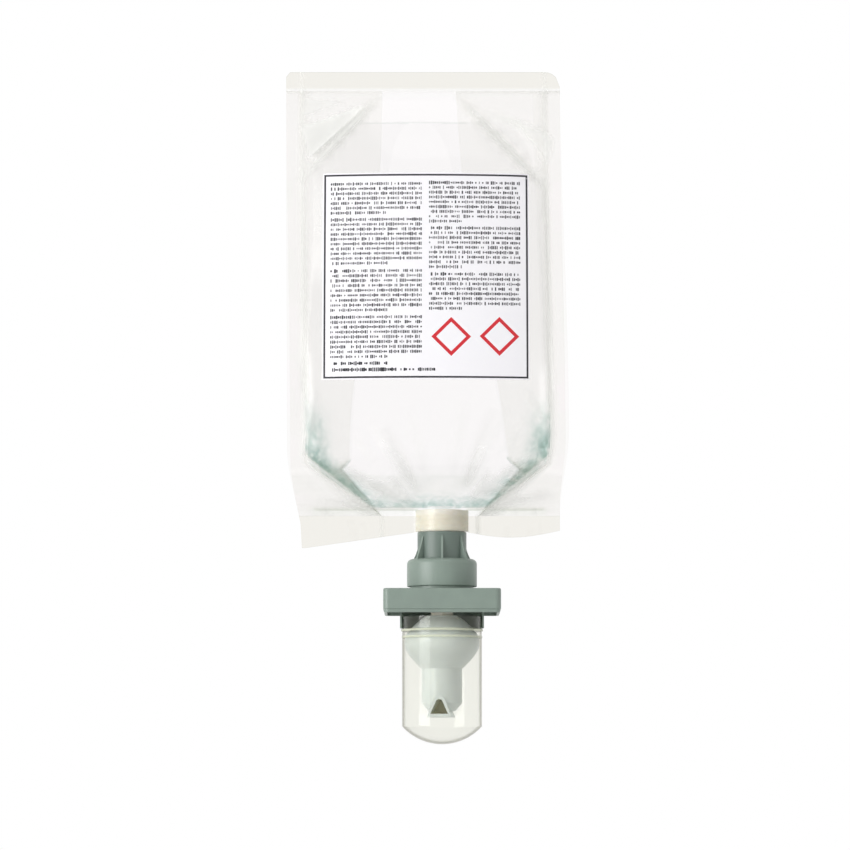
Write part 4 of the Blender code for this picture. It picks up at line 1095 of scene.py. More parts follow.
    def close_levels(self, shape: bmesh.types.BMesh, middle: float) -> None:
        """Fill the open loops at the two ends of a loft, one under and one over a middle height."""
        open_edges = [edge for edge in shape.edges if edge.is_boundary]
        for above in (False, True):
            borders = [edge for edge in open_edges if (edge.verts[0].co.z > middle) == above]
            bmesh.ops.triangle_fill(shape, use_beauty=True, use_dissolve=False, edges=borders)


@dataclass(frozen=True)
class TextBlock:
    """A block of small print shown as rows of dashes: its place, lines and weight."""

    left: float
    top: float
    width: float
    lines: int
    seed: int
    bold: bool = False


@dataclass
class Label:
    """The framed label: stock, frame line, columns of greeked print and two red lozenges."""

    pouch: Pouch
    steps: tuple[int, int] = (48, 44)
    margin: float = 0.6 * MM
    frame_line: float = 0.75 * MM
    pitch: float = 2.055 * MM
    cell: float = 0.70 * MM
    stroke: float = 0.44 * MM
    print_height: float = 0.98 * MM
    print_thickness: float = 0.02 * MM
    gap: float = 0.08 * MM
    thickness: float = 0.10 * MM
    columns: Pair = (-45.5 * MM, -5.1 * MM)
    column_width: float = 36.9 * MM
    opening_word: float = 8.0 * MM
    after_opening: float = 9.0 * MM
    closing_indent: float = 0.8 * MM
    closing_lines: tuple[Pair, ...] = ((101.0 * MM, 22.0 * MM), (98.4 * MM, 41.5 * MM))
    lozenges: tuple[Pair, ...] = ((3.7 * MM, 112.0 * MM), (23.4 * MM, 112.2 * MM))
    lozenge_reach: float = 8.1 * MM
    lozenge_border: float = 1.4 * MM

    def surface(self, x: float, z: float, lift: float) -> Point:
        """A point over the label's face, lifted off it."""
        row = self.pouch.form.row(z)
        depth = self.pouch.surface(x, row, self.pouch.form.film, True)
        return (x, -(depth + self.gap + self.thickness + lift), z)

    def sheet(self, left: float, right: float, bottom: float, top: float, low: float,
              high: float, steps: tuple[int, int]) -> bmesh.types.BMesh:
        """A thin sheet that follows the label's face.

        Args:
            left: Its lowest X.
            right: Its highest X.
            bottom: Its lowest Z.
            top: Its highest Z.
            low: Lift of its back face.
            high: Lift of its front face.
            steps: Divisions across and up.

        Returns:
            The sheet.
        """
        loops = []
        for up in range(steps[1] + 1):
            z = mix(bottom, top, up / steps[1])
            stations = [mix(left, right, step / steps[0]) for step in range(steps[0] + 1)]
            front = [self.surface(x, z, high) for x in stations]
            back = [self.surface(x, z, low) for x in reversed(stations)]
            loops.append(front + back)
        return lofted(loops, paired=True)

    def paragraphs(self) -> list[TextBlock]:
        """The print's blocks, a bold opening word to each paragraph and a short last line."""
        blocks = []
        layout = (
            ((176.5, 7), (161.3, 10), (139.6, 9), (120.2, 9)),
            ((176.9, 9), (157.6, 9), (138.1, 8)),
        )
        for column, paragraphs in enumerate(layout):
            left = self.columns[column]
            for order, (top, lines) in enumerate(paragraphs):
                seed = 17 * column + 5 * order + 3
                level = top * MM
                short = self.column_width * (0.35 + 0.09 * (seed % 5))
                rest = self.column_width - self.after_opening
                blocks.append(TextBlock(left, level, self.opening_word, 1, seed, bold=True))
                blocks.append(TextBlock(left + self.after_opening, level, rest, 1, seed + 1))
                blocks.append(TextBlock(left, level - self.pitch, self.column_width, lines - 2, seed + 2))
                blocks.append(TextBlock(left, level - self.pitch * (lines - 1), short, 1, seed + 3))
        for order, (level, width) in enumerate(self.closing_lines):
            blocks.append(TextBlock(self.columns[0] + self.closing_indent, level, width, 1, 90 + order, bold=True))
        return blocks

    def print_tree(self) -> bpy.types.GeometryNodeTree:
        """Geometry Nodes that set out dashes of print on a grid of cells and drop some for word spaces."""
        tree, source = open_tree("greeked_print", {
            "Width": "Float", "Height": "Float", "Cells": "Int", "Lines": "Int",
            "Dash": "Vector", "Seed": "Int", "Ink": "Material"})
        given = source.outputs
        grid = add_node(tree, "GeometryNodeMeshGrid", {
            "Size X": given["Width"], "Size Y": given["Height"],
            "Vertices X": given["Cells"], "Vertices Y": given["Lines"]})
        points = add_node(tree, "GeometryNodeMeshToPoints", {"Mesh": grid.outputs["Mesh"]})
        kept = add_node(tree, "FunctionNodeRandomValue", {
            "Probability": 0.16, "Seed": given["Seed"]}, data_type="BOOLEAN")
        spaced = add_node(tree, "GeometryNodeDeleteGeometry", {
            "Geometry": points.outputs["Points"], "Selection": kept.outputs[3]}, domain="POINT")
        size = add_node(tree, "FunctionNodeRandomValue", {
            0: (0.7, 0.6, 1.0), 1: (1.35, 1.5, 1.0), "Seed": given["Seed"]}, data_type="FLOAT_VECTOR")
        dash = add_node(tree, "GeometryNodeMeshCube", {"Size": given["Dash"]})
        dashes = add_node(tree, "GeometryNodeInstanceOnPoints", {
            "Points": spaced.outputs["Geometry"], "Instance": dash.outputs["Mesh"],
            "Scale": size.outputs[0]})
        close_tree(tree, dashes, given["Ink"])
        return tree

    def print_mesh(self, tree: bpy.types.GeometryNodeTree, block: TextBlock,
                   ink: bpy.types.Material) -> bpy.types.Mesh:
        """Run the print tree for one block and wrap its dashes onto the label.

        Args:
            tree: The print tree.
            block: The block to set.
            ink: Its material.

        Returns:
            The block's mesh, in place.
        """
        weight = 1.3 if block.bold else 1.0
        values = {
            "Width": block.width,
            "Height": self.pitch * (block.lines - 1),
            "Cells": max(2, round(block.width / self.cell)),
            "Lines": block.lines,
            "Dash": (self.stroke * weight, self.print_height * weight ** 0.5, self.print_thickness),
            "Seed": block.seed,
            "Ink": ink,
        }
        made = grown("print", tree, values)
        for vertex in made.vertices:
            x = block.left + 0.5 * block.width + vertex.co.x
            z = block.top - 0.5 * self.pitch * (block.lines - 1) + vertex.co.y
            vertex.co = self.surface(x, z, 0.5 * self.print_thickness + vertex.co.z)
        return made

    def lozenge(self, centre: tuple[float, float], shape: bmesh.types.BMesh) -> None:
        """Add a plain lozenge ring to a shape, lifted just over the label."""
        steps = 6
        rims = []
        for reach in (self.lozenge_reach, self.lozenge_reach - self.lozenge_border * math.sqrt(2.0)):
            corners = [(0.0, reach), (reach, 0.0), (0.0, -reach), (-reach, 0.0)]
            rim = []
            for near, far in zip(corners, corners[1:] + corners[:1]):
                for step in range(steps):
                    share = step / steps
                    rim.append((centre[0] + mix(near[0], far[0], share), centre[1] + mix(near[1], far[1], share)))
            rims.append(rim)
        levels = []
        for lift in (0.0, self.print_thickness):
            levels.append([[shape.verts.new(self.surface(x, z, lift)) for x, z in rim] for rim in rims])
        (low_out, low_in), (high_out, high_in) = levels
        for one, two in ((low_out, high_out), (high_out, high_in), (high_in, low_in), (low_in, low_out)):
            band(shape, one, two)

    def build(self, stock: bpy.types.Material, ink: bpy.types.Material, red: bpy.types.Material) -> None:
        """Make the label's stock, frame, print and lozenges."""
        left, right, bottom, top = self.pouch.form.label_box
        sheet = self.sheet(left, right, bottom, top, -self.thickness, 0.0, self.steps)
        report(mesh_piece("label_stock", sheet, stock), Body.ROOT, "label", "pouch_label")

        left, right, bottom, top = left + self.margin, right - self.margin, bottom + self.margin, top - self.margin
        line = self.frame_line
        across = (self.steps[0], 1)
        upright = (1, self.steps[1])
        shape = bmesh.new()
        bars = (
            (left, right, top - line, top, across),
            (left, right, bottom, bottom + line, across),
            (left, left + line, bottom + line, top - line, upright),
            (right - line, right, bottom + line, top - line, upright),
        )
        for x0, x1, z0, z1, steps in bars:
            bar = self.sheet(x0, x1, z0, z1, 0.0, self.print_thickness, steps)
            mesh = bpy.data.meshes.new("bar")
            bar.to_mesh(mesh)
            bar.free()
            shape.from_mesh(mesh)
            bpy.data.meshes.remove(mesh)
        tree = self.print_tree()
        for block in self.paragraphs():
            made = self.print_mesh(tree, block, ink)
            shape.from_mesh(made)
            bpy.data.meshes.remove(made)
        report(mesh_piece("label_print", shape, ink), Body.ROOT, "label")

        rings = bmesh.new()
        for centre in self.lozenges:
            self.lozenge(centre, rings)
        report(mesh_piece("label_lozenges", rings, red), Body.ROOT, "label")


@dataclass
class Spout:
    """The natural spout: a ribbed boat with two wings, over a plain neck."""

    form: PouchForm = field(default_factory=PouchForm)
    neck_radius: float = 8.6 * MM
    neck_bottom: float = 22.3 * MM
    bore: float = 6.6 * MM
    rib: float = 0.25 * MM
    ribs: int = 4

    def boat_loop(self, height: float, grow: float) -> list[Point]:
        """One loop of the boat's outline."""
        form = self.form
        reach = form.wing_reach
        stations = [reach * math.sin(math.radians(angle)) for angle in range(-90, 91, 5)]
        front = [(x, -(form.boat_half(x, 0.0) + grow), height) for x in stations]
        return front + [(x, -y, z) for x, y, z in reversed(front)]

    def build(self, natural: bpy.types.Material) -> None:
        """Make the spout as one moulding."""
        form = self.form
        pitch = (form.boat_top - form.boat_bottom) / self.ribs
        loops = []
        for index in range(self.ribs):
            low = form.boat_bottom + pitch * index
            for share, grow in ((0.0, -self.rib), (0.3, 0.0), (0.7, 0.0), (0.98, -self.rib)):
                loops.append(self.boat_loop(low + pitch * share, grow))
        boat = mesh_piece("spout_moulding", lofted(loops, paired=True), natural)
        over = 1.0 * MM
        neck = [(0.0, self.neck_bottom), (self.neck_radius, self.neck_bottom)]
        neck += [(self.neck_radius, form.boat_bottom + over), (0.0, form.boat_bottom + over)]
        combine(boat, mesh_piece("neck", turned(neck, closed=False), natural), "UNION")
        bore = [(0.0, self.neck_bottom - over), (self.bore, self.neck_bottom - over)]
        bore += [(self.bore, form.boat_top + over), (0.0, form.boat_top + over)]
        combine(boat, mesh_piece("bore", turned(bore, closed=False), natural), "DIFFERENCE")
        report(boat, Body.ROOT, "natural_plastic", "spout_fitment")


@dataclass
class Collar:
    """The grey ribbed collar round the spout's neck."""

    bore: float = 8.9 * MM
    sleeve: float = 10.1 * MM
    top: float = 33.7 * MM
    shoulder: float = 22.6 * MM
    web_bottom: float = 21.0 * MM
    inner: float = 11.7 * MM
    radius: float = 14.4 * MM
    fillet: float = 2.2 * MM
    foot: float = 11.2 * MM
    ring: float = 13.1 * MM
    snap: float = 0.8 * MM
    snap_height: float = 0.6 * MM
    bottom: float = 7.4 * MM
    rib: float = 0.9 * MM
    tall_starts: tuple[float, ...] = (0.0, 50.0, 130.0)
    short_starts: tuple[float, ...] = (90.0,)
    tall_size: tuple[float, float] = (13.5 * MM, 32.5 * MM)
    short_size: tuple[float, float] = (11.6 * MM, 26.7 * MM)

    def rib_bar(self, reach: float, top: float, finish: bpy.types.Material) -> bpy.types.Object:
        """One triangular rib at the collar's front, with a slightly hollow edge."""
        root = mix(self.bore, self.sleeve, 0.5)
        low = self.shoulder - 0.8 * MM
        outline = [(root, low), (reach, low), (reach, self.shoulder + 0.2 * MM)]
        for step in range(1, 7):
            share = step / 6
            hollow = 0.15 * MM * math.sin(math.pi * share)
            outline.append((mix(reach, self.sleeve, share) - hollow, mix(self.shoulder + 0.2 * MM, top, share)))
        outline.append((root, top))
        loops = []
        for offset in (-0.5 * self.rib, 0.5 * self.rib):
            loops.append([(offset, -radius, height) for radius, height in outline])
        return mesh_piece("rib", lofted(loops), finish)

    def ring_tree(self) -> bpy.types.GeometryNodeTree:
        """Geometry Nodes that set equal copies of a rib round the pump axis."""
        tree, source = open_tree("rib_ring", {
            "Rib": "Object", "Count": "Int", "Start": "Float", "Plastic": "Material"})
        given = source.outputs
        rib = add_node(tree, "GeometryNodeObjectInfo", {"Object": given["Rib"]})
        points = add_node(tree, "GeometryNodePoints", {"Count": given["Count"]})
        pitch = add_node(tree, "ShaderNodeMath", {0: 2.0 * math.pi, 1: given["Count"]}, operation="DIVIDE")
        turn = add_node(tree, "ShaderNodeMath", {
            0: add_node(tree, "GeometryNodeInputIndex").outputs["Index"], 1: pitch.outputs["Value"],
            2: given["Start"]}, operation="MULTIPLY_ADD")
        spin = add_node(tree, "ShaderNodeCombineXYZ", {"Z": turn.outputs["Value"]})
        copies = add_node(tree, "GeometryNodeInstanceOnPoints", {
            "Points": points.outputs["Points"], "Instance": rib.outputs["Geometry"],
            "Rotation": spin.outputs["Vector"]})
        close_tree(tree, copies, given["Plastic"])
        return tree

    def add_ribs(self, collar: bpy.types.Object, grey: bpy.types.Material) -> None:
        """Join the tall and the short ribs to the collar, pair by pair."""
        tree = self.ring_tree()
        for starts, size in ((self.tall_starts, self.tall_size), (self.short_starts, self.short_size)):
            rib = self.rib_bar(size[0], size[1], grey)
            for start in starts:
                pair = grown("ribs", tree, {"Rib": rib, "Count": 2, "Start": math.radians(start), "Plastic": grey})
                combine(collar, placed("ribs", pair), "UNION")
            bpy.data.objects.remove(rib, do_unlink=True)

    def build(self, grey: bpy.types.Material) -> None:
        """Make the collar as one moulding."""
        edge = 0.35 * MM
        outline = [(self.bore, self.top - edge), (self.bore, self.web_bottom), (self.inner, self.web_bottom)]
        outline += [(self.inner, self.bottom), (self.ring, self.bottom)]
        snap_top = self.bottom + self.snap_height
        outline += [(self.ring + self.snap, snap_top), (self.ring, snap_top), (self.ring, self.foot)]
        outline += arc((self.radius - edge, self.foot + edge), edge, -90.0, 0.0, 4)
        corner = (self.radius - self.fillet, self.shoulder - self.fillet)
        outline += arc(corner, self.fillet, 0.0, 90.0, 8)
        outline += arc((self.sleeve + 0.3 * MM, self.shoulder + 0.3 * MM), 0.3 * MM, 270.0, 180.0, 3)
        outline += arc((self.sleeve - edge, self.top - edge), edge, 0.0, 90.0, 4)
        outline.append((self.bore + edge, self.top))
        collar = mesh_piece("ribbed_collar", turned(outline), grey)
        self.add_ribs(collar, grey)
        # painted shade on the sleeve between the ribs
        carry(collar, "painted_shade_mask", self.painted_shade_mask)
        report(collar, Body.ROOT, "grey_plastic", "neck_collar")

    def painted_shade_mask(self, place: Vector) -> float:
        """1 on the sleeve between the ribs, where painted shade darkens it, 0 elsewhere."""
        radius = math.hypot(place.x, place.y)
        on_sleeve = radius > self.bore + 0.6 * MM and radius < self.sleeve + 0.35 * MM
        return 1.0 if on_sleeve and place.z > self.shoulder - 0.5 * MM else 0.0


@dataclass
class Flange:
    """The grey hollow flange plate with the open skirt for the cap."""

    width: float = 48.2 * MM
    depth: float = 38.0 * MM
    height: float = 9.9 * MM
    wall: float = 1.6 * MM
    corner: float = 2.4 * MM
    edge: float = 0.6 * MM
    foot_step: float = 0.4 * MM
    foot_height: float = 1.4 * MM
    hole: float = 13.4 * MM
    skirt_bore: float = 16.7 * MM
    skirt_wall: float = 0.6 * MM
    skirt_drop: float = 5.8 * MM
    skirt_gap: float = 82.0

    def outline(self, inset: float) -> Outline:
        """The plate's outline, moved in by an inset, with round corners."""
        half_x = 0.5 * self.width - inset
        half_y = 0.5 * self.depth - inset
        held = max(0.3 * MM, self.corner - inset)
        points = []
        for index, (sign_x, sign_y) in enumerate(((1, 1), (-1, 1), (-1, -1), (1, -1))):
            centre = (sign_x * (half_x - held), sign_y * (half_y - held))
            points += arc(centre, held, 90.0 * index, 90.0 * index + 90.0, 8)
        return points

    def solid(self, levels: Sequence[tuple[float, float]], finish: bpy.types.Material) -> bpy.types.Object:
        """A prism of the plate's outline through (height, inset) levels."""
        loops = [[(x, y, z) for x, y in self.outline(inset)] for z, inset in levels]
        return mesh_piece("flange_plate_moulding", lofted(loops), finish)

    def build(self, grey: bpy.types.Material) -> None:
        """Make the plate as one moulding."""
        small = 0.25 * MM
        levels = [(0.0, self.foot_step + small), (small, self.foot_step), (self.foot_height, self.foot_step)]
        levels += [(self.foot_height + 0.12 * MM, 0.0)]
        for inset, height in arc((self.edge, self.height - self.edge), self.edge, 180.0, 90.0, 5):
            levels.append((height, inset))
        plate = self.solid(levels, grey)
        ceiling = self.height - self.wall
        combine(plate, self.solid([(-1.0 * MM, self.wall), (ceiling, self.wall)], grey), "DIFFERENCE")
        through = [(0.0, -1.0 * MM), (self.hole, -1.0 * MM), (self.hole, 11.0 * MM), (0.0, 11.0 * MM)]
        combine(plate, mesh_piece("hole", turned(through, closed=False), grey), "DIFFERENCE")
        low = -self.skirt_drop
        outer = self.skirt_bore + self.skirt_wall
        section = [(self.skirt_bore, low), (outer, low), (outer, ceiling + 0.5 * self.wall)]
        section.append((self.skirt_bore, ceiling + 0.5 * self.wall))
        steps = 72
        loops = []
        for step in range(steps + 1):
            angle = math.radians(mix(self.skirt_gap - 90.0, 270.0 - self.skirt_gap, step / steps))
            loops.append([(r * math.cos(angle), r * math.sin(angle), z) for r, z in section])
        combine(plate, mesh_piece("skirt", lofted(loops), grey), "UNION")
        report(plate, Body.ROOT, "grey_plastic", "flange_plate")


@dataclass
class FoamHead:
    """The white foam head: bulb, nozzle and hooded outlet, one moulding."""

    top: float = -0.8 * MM
    socket: float = 5.3 * MM
    socket_wall: float = 1.5 * MM
    socket_bottom: float = -19.7 * MM
    shell: float = 1.4 * MM
    bulb: float = 15.5 * MM
    widest: float = -11.6 * MM
    dome: tuple[tuple[float, float], ...] = (
        (7.6 * MM, -1.5 * MM), (8.7 * MM, -2.3 * MM), (9.7 * MM, -3.1 * MM), (10.8 * MM, -4.1 * MM),
        (11.8 * MM, -5.1 * MM), (12.7 * MM, -6.1 * MM), (13.5 * MM, -7.2 * MM))
    nozzle: float = 8.3 * MM
    nozzle_top: float = -22.6 * MM
    nozzle_corner: float = -37.0 * MM
    nozzle_end: float = -40.0 * MM
    end_radius: float = 5.2 * MM
    bore: float = 3.0 * MM
    bore_end: float = -36.0 * MM
    turn: float = -8.0
    outlet_width: float = 7.4 * MM
    outlet_apex: float = -35.2 * MM
    outlet_floor: float = -41.2 * MM
    crown: float = 1.5 * MM
    beak_wall: float = 1.3 * MM
    beak_floor: float = 1.3 * MM
    beak_front: float = 8.9 * MM
    beak_back: float = 3.4 * MM

    def bulb_side(self) -> Outline:
        """The bulb's side from its upper lip to the nozzle, through the radii that the photo shows."""
        points = list(self.dome)
        rise = self.dome[-1][1] - self.widest
        for step in range(1, 9):
            angle = 0.5 * math.pi * step / 8
            radius = mix(self.dome[-1][0], self.bulb, math.sin(angle))
            points.append((radius, self.dome[-1][1] - rise * (1.0 - math.cos(angle)) ** 0.8))
        fall = self.widest - self.nozzle_top
        for step in range(1, 15):
            share = step / 14
            radius = mix(self.nozzle, self.bulb, math.cos(0.5 * math.pi * share))
            points.append((radius, self.widest - fall * share))
        return points

    def doorway(self, width: float, floor: float, apex: float, crown: float, start: float, end: float,
                finish: bpy.types.Material) -> bpy.types.Object:
        """A bar along Y whose sides lean in to a round crown, turned about the pump axis.

        Args:
            width: Width of the section at its floor.
            floor: Its lowest Z.
            apex: Its highest Z.
            crown: Radius of its round top.
            start: Its front Y.
            end: Its back Y.
            finish: Its material.

        Returns:
            The bar.
        """
        half = 0.5 * width
        rise = apex - crown - floor
        lean = math.degrees(math.acos(crown / math.hypot(half, rise)) - math.atan2(rise, half))
        outline = [(-half, floor), (-0.5 * half, floor), (0.5 * half, floor), (half, floor)]
        outline += arc((0.0, apex - crown), crown, lean, 180.0 - lean, 20)
        angle = math.radians(self.turn)
        loops = []
        for depth in (start, end):
            loop = []
            for x, z in outline:
                loop.append((x * math.cos(angle) - depth * math.sin(angle),
                             x * math.sin(angle) + depth * math.cos(angle), z))
            loops.append(loop)
        return mesh_piece("doorway", lofted(loops), finish)

    def painted_shade_mask(self, place: Vector) -> float:
        """1 inside the outlet, where a painted olive-beige shade tone lies, 0 elsewhere."""
        angle = math.radians(self.turn)
        across = place.x * math.cos(angle) + place.y * math.sin(angle)
        along = place.y * math.cos(angle) - place.x * math.sin(angle)
        rise = (place.z - self.outlet_floor) / (self.outlet_apex - self.outlet_floor)
        half = 0.5 * self.outlet_width * (1.0 - rise) + 0.9 * MM
        inside = -0.02 < rise < 1.02 and abs(across) < half
        return 1.0 if inside and -self.beak_front + 0.3 * MM < along < self.beak_back else 0.0

    def build(self, white: bpy.types.Material) -> None:
        """Make the head as one moulding."""
        wall = self.socket + self.socket_wall
        floor = self.socket_bottom + 0.5 * MM
        outer = self.bulb_side()
        inner = []
        for before, here, after in zip(outer, outer[1:], outer[2:]):
            run = after[0] - before[0]
            drop = before[1] - after[1]
            length = math.hypot(run, drop)
            point = (here[0] - self.shell * drop / length, here[1] - self.shell * run / length)
            if floor + 0.5 * MM < point[1] < outer[0][1] - 0.3 * MM and point[0] > wall:
                inner.append(point)
        edge = 0.3 * MM
        outline = [(0.0, self.bore_end), (self.bore, self.bore_end), (self.bore, self.socket_bottom)]
        outline += [(self.socket, self.socket_bottom), (self.socket, self.top - edge)]
        outline += [(self.socket + edge, self.top)]
        outline += arc((wall - edge, self.top - edge), edge, 90.0, 0.0, 3)
        outline += [(wall, floor), (inner[-1][0], floor)]
        outline += inner[::-1]
        outline.append((outer[0][0] - 0.5 * MM, outer[0][1] - 0.3 * MM))
        outline += outer
        round_end = 0.9 * MM
        outline.append((self.nozzle, self.nozzle_corner + round_end))
        outline += [(self.nozzle - 0.15 * round_end, self.nozzle_corner + 0.3 * round_end)]
        outline += [(self.nozzle - 0.5 * round_end, self.nozzle_corner - 0.2 * round_end)]
        outline += [(self.end_radius + 0.5 * round_end, self.nozzle_end + 0.3 * round_end)]
        outline += [(self.end_radius - 0.4 * round_end, self.nozzle_end), (0.0, self.nozzle_end)]
        head = mesh_piece("foam_head_moulding", turned(outline, closed=False), white)
        width = self.outlet_width + 2.0 * self.beak_wall
        hood = self.doorway(width, self.outlet_floor - self.beak_floor, self.outlet_apex + self.beak_wall,
                            self.crown + self.beak_wall, -self.beak_front, self.beak_back, white)
        combine(head, hood, "UNION")
        mouth = self.doorway(self.outlet_width, self.outlet_floor, self.outlet_apex, self.crown,
                             -2.0 * self.beak_front, self.beak_back - self.beak_wall, white)
        combine(head, mouth, "DIFFERENCE")
        # painted olive-beige shade tone inside the outlet
        carry(head, "painted_shade_mask", self.painted_shade_mask)
        report(head, Body.HEAD, "white_plastic", "nozzle_head")


@dataclass
class DustCap:
    """The clear dust cap: thin wall, stop bead, a second faint ring and a round bottom."""

    radius: float = 16.4 * MM
    wall: float = 0.4 * MM
    rim: float = -1.2 * MM
    bead_top: float = -6.1 * MM
    bead: float = 0.5 * MM
    bead_height: float = 1.2 * MM
    ring_top: float = -8.9 * MM
    ring: float = 0.18 * MM
    dome_start: float = -46.2 * MM
    bottom: float = -53.5 * MM

    def dome(self, radius: float, bottom: float) -> Outline:
        """Points of the round bottom from its edge to the axis."""
        sag = self.dome_start - bottom
        sphere = (radius * radius + sag * sag) / (2.0 * sag)
        widest = math.asin(radius / sphere)
        points = []
        for step in range(20):
            angle = widest * (1.0 - step / 20)
            points.append((sphere * math.sin(angle), bottom + sphere * (1.0 - math.cos(angle))))
        return points + [(0.0, bottom)]

    def build(self, clear: bpy.types.Material) -> None:
        """Make the cap as one moulding."""
        outline = self.dome(self.radius - self.wall, self.bottom + self.wall)[::-1]
        outline += [(self.radius - self.wall, self.rim), (self.radius, self.rim), (self.radius, self.bead_top)]
        centre = self.bead_top - 0.5 * self.bead_height
        for share in (0.75, 0.4, 0.0, -0.4, -0.75):
            swell = math.sqrt(1.0 - share * share)
            outline.append((self.radius + self.bead * swell, centre + 0.5 * self.bead_height * share))
        outline += [(self.radius, self.bead_top - self.bead_height), (self.radius, self.ring_top)]
        outline += [(self.radius + self.ring, self.ring_top - 0.3 * MM)]
        outline += [(self.radius + self.ring, self.ring_top - 0.9 * MM), (self.radius, self.ring_top - 1.2 * MM)]
        outline += self.dome(self.radius, self.bottom)
        cap = mesh_piece("clear_dust_cap", turned(outline, closed=False), clear, crisp=40.0)
        proud = self.radius + 0.5 * self.ring
        # painted highlight on the proud ring
        carry(cap, "painted_highlight", lambda place: 0.8 if math.hypot(place.x, place.y) > proud else 0.0)
        report(cap, Body.CAP, "clear_plastic", "dust_cap")


@dataclass
class Studio:
    """Pale floor, even light and the camera at the photograph's viewing angle."""

    frame_width: float = 0.351
    target: Point = (-7.0 * MM, 0.0, 78.1 * MM)
    distance: float = 2.2
    elevation: float = -4.5
    sensor: float = 36.0
    floor_level: float = -0.118
    floor_size: float = 6.0
    floor_glow: float = 0.35
    ambient: float = 0.56

    def camera(self) -> None:
        """Set the camera in front of the label, a little under its middle."""
        data = bpy.data.cameras.new("camera")
        data.sensor_width = self.sensor
        data.lens = self.sensor * self.distance / self.frame_width
        data.clip_end = 50.0
        made = placed("camera", data)
        angle = math.radians(self.elevation)
        way = Vector((0.0, -math.cos(angle), math.sin(angle)))
        made.location = Vector(self.target) + way * self.distance
        made.rotation_euler = (-way).to_track_quat("-Z", "Y").to_euler()
        bpy.context.scene.camera = made

    def shown_ray(self, tree: bpy.types.NodeTree) -> bpy.types.NodeSocket:
        """1 for rays of sight: straight, mirrored or through glass."""
        path = add_node(tree, "ShaderNodeLightPath").outputs
        first = add_node(tree, "ShaderNodeMath", {
            0: path["Is Camera Ray"], 1: path["Is Glossy Ray"]}, operation="MAXIMUM")
        both = add_node(tree, "ShaderNodeMath", {
            0: first.outputs["Value"], 1: path["Is Transmission Ray"]}, operation="MAXIMUM")
        return both.outputs["Value"]

    def world(self) -> None:
        """White where it is seen, plain grey-white where it lights."""
        made = bpy.data.worlds.new("white_studio")
        made.use_nodes = True
        tree = made.node_tree
        tree.nodes.clear()
        strength = add_node(tree, "ShaderNodeMapRange", {
            "Value": self.shown_ray(tree), "To Min": self.ambient, "To Max": 1.0})
        light = add_node(tree, "ShaderNodeBackground", {
            "Color": (1.0, 1.0, 1.0, 1.0), "Strength": strength.outputs["Result"]})
        add_node(tree, "ShaderNodeOutputWorld", {"Surface": light.outputs["Background"]})
        bpy.context.scene.world = made

    def floor(self) -> None:
        """A pale floor well under the hung cartridge, which keeps its shadow."""
        made, tree = new_material("white_floor")
        matt = add_node(tree, "ShaderNodeBsdfDiffuse", {"Color": linear("#f2f2f2")})
        strength = add_node(tree, "ShaderNodeMath", {
            0: self.shown_ray(tree), 1: self.floor_glow}, operation="MULTIPLY")
        glow = add_node(tree, "ShaderNodeEmission", {"Strength": strength.outputs["Value"]})
        both = add_node(tree, "ShaderNodeAddShader", {0: matt.outputs["BSDF"], 1: glow.outputs["Emission"]})
        add_node(tree, "ShaderNodeOutputMaterial", {"Surface": both.outputs["Shader"]})
        shape = bmesh.new()
        bmesh.ops.create_grid(shape, x_segments=1, y_segments=1, size=self.floor_size)
        bmesh.ops.translate(shape, verts=shape.verts[:], vec=(0.0, 0.0, self.floor_level))
        mesh_piece("floor", shape, made)

    def lamp(self, name: str, place: Point, size: float, power: float) -> None:
        """Add a square soft lamp that faces the cartridge."""
        data = bpy.data.lights.new(name, "AREA")
        data.size = size
        data.energy = power
        made = placed(name, data)
        made.location = place
        made.rotation_euler = (Vector(place) - Vector(self.target)).to_track_quat("Z", "Y").to_euler()

    def build(self) -> None:
        """Set up camera, world, floor and lamps."""
        self.camera()
        self.world()
        self.floor()
        self.lamp("key_lamp", (-1.15, -0.85, 0.12), 0.9, 15.0)
        self.lamp("top_lamp", (0.15, -0.7, 1.2), 0.7, 1.8)
        bpy.context.scene.view_settings.view_transform = "Standard"
        bpy.context.scene.cycles.transparent_max_bounces = 32


@dataclass
class PumpParts:
    """The pump parts inside the collar and head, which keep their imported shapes."""

    natural: tuple[str, ...] = ("pump_cylinder", "piston_stem", "air_piston", "mesh_holder")
    rubber: tuple[str, ...] = (
        "neck_gasket", "inlet_valve", "outlet_valve", "air_valve", "liquid_piston_seal")
    gauze: tuple[str, ...] = ("coarse_screen", "fine_screen")
    steel: tuple[str, ...] = ("return_spring",)

    def dress(self, finishes: dict[str, bpy.types.Material]) -> None:
        """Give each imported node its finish."""
        groups = {"natural": self.natural, "rubber": self.rubber, "gauze": self.gauze, "steel": self.steel}
        for group, names in groups.items():
            for name in names:
                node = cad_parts[name]
                for slot in node.material_slots:
                    slot.material = finishes[group]
                LOG.info("%s keeps its packed shape in %s", name, finishes[group].name)


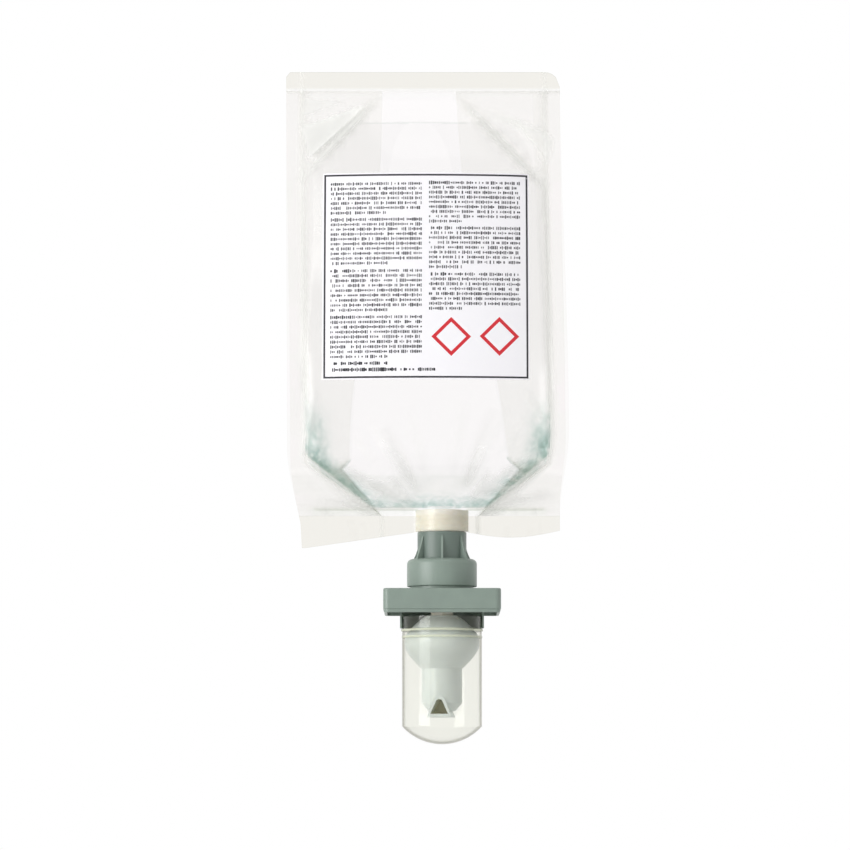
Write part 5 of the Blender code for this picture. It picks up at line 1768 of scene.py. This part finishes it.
def finishes() -> dict[str, bpy.types.Material]:
    """Build every finish once, by the name that the sub-assemblies use."""
    chosen = {
        # laminated film: almost clear, greener where the gusset folds it double
        "film": ClearPlastic("laminated_clear_film", "#fefdfd", "#e8eae3", 0.006, 0.14, 7.0 * MM, 0.5 * MM,
                             most_gloss=0.35, folded="#fdfdfc", sealed="#f9f8f5"),
        # thin cleaner: clear, with a painted blue-green refraction tint along its rounded lower edge
        "cleaner": ClearPlastic("clear_cleaner", "#fefefe", "#f2f5f3", 0.0, 0.08, 16.0 * MM, 0.4 * MM,
                                least_gloss=0.01, most_gloss=0.2, painted_refraction="#cbddd9"),
        # coated paper label: pale with a lavender cast
        "stock": PrintedStock("coated_label_stock", "#fefdff", "#fcfaff", 0.42),
        # black printing ink, a little duller than the stock
        "ink": PrintedStock("black_print", "#1d1c22", "#2a2930", 0.5),
        # red printing ink of the two lozenges
        "red": PrintedStock("red_print", "#d8232f", "#cf1f2c", 0.45),
        # unpigmented polyethylene: cream, a little light passes through it
        "natural": MouldedPlastic("natural_polyethylene", "#f5f1e5", "#ece6d7", 0.44, subsurface=0.25),
        # grey polypropylene: satin, slightly green; painted shade darkens the sleeve between the ribs
        "grey": MouldedPlastic("grey_polypropylene", "#8a998f", "#849289", 0.36, painted_shade_tone="#6c7a72"),
        # white polypropylene: satin, cool white; a painted olive-beige shade tone lies inside the outlet
        "white": MouldedPlastic("white_polypropylene", "#dfe6e4", "#d8dfdd", 0.30,
                                subsurface=0.1, painted_shade_tone="#e9e5c0"),
        # clear polypropylene: thin, a warm grey at its edges
        "clear": ClearPlastic("clear_polypropylene", "#fcfcfa", "#cfcec2", 0.01, 0.10, 12.0 * MM, 0.2 * MM,
                              rim_start=0.62, haze_colour="#e4e8cd"),
        # moulded silicone of the gasket, valves and seal: dull and a little see-through
        "rubber": MouldedPlastic("moulded_silicone", "#c6c8c5", "#babdba", 0.55, subsurface=0.2),
        # woven nylon gauze: its mottle is as fine as the weave
        "gauze": MouldedPlastic("nylon_gauze", "#d8dad8", "#b9bcbb", 0.6, grain=0.2 * MM, mottle=0.4 * MM),
        # drawn stainless wire of the return spring
        "steel": DrawnSteel(),
    }
    return {name: finish.material() for name, finish in chosen.items()}


def main() -> None:
    """Build the studio and every sub-assembly in order."""
    logging.basicConfig(level=logging.INFO)
    Studio().build()
    looks = finishes()
    # painted highlights: three white flats of film near the top corners
    pouch = Pouch(facets=(
        facet(-58.0, 201.8, -31.9, 210.9, -55.0, 188.6, 1.4),
        facet(-57.0, 214.0, -40.0, 213.0, -57.0, 206.0, 0.5),
        facet(30.0, 206.0, 46.0, 197.0, 44.0, 186.0, 0.6),
    ))
    pouch.build(looks["film"], looks["cleaner"])
    Label(pouch).build(looks["stock"], looks["ink"], looks["red"])
    Spout().build(looks["natural"])
    Collar().build(looks["grey"])
    Flange().build(looks["grey"])
    FoamHead().build(looks["white"])
    DustCap().build(looks["clear"])
    PumpParts().dress(looks)


if __name__ == "__main__":
    main()
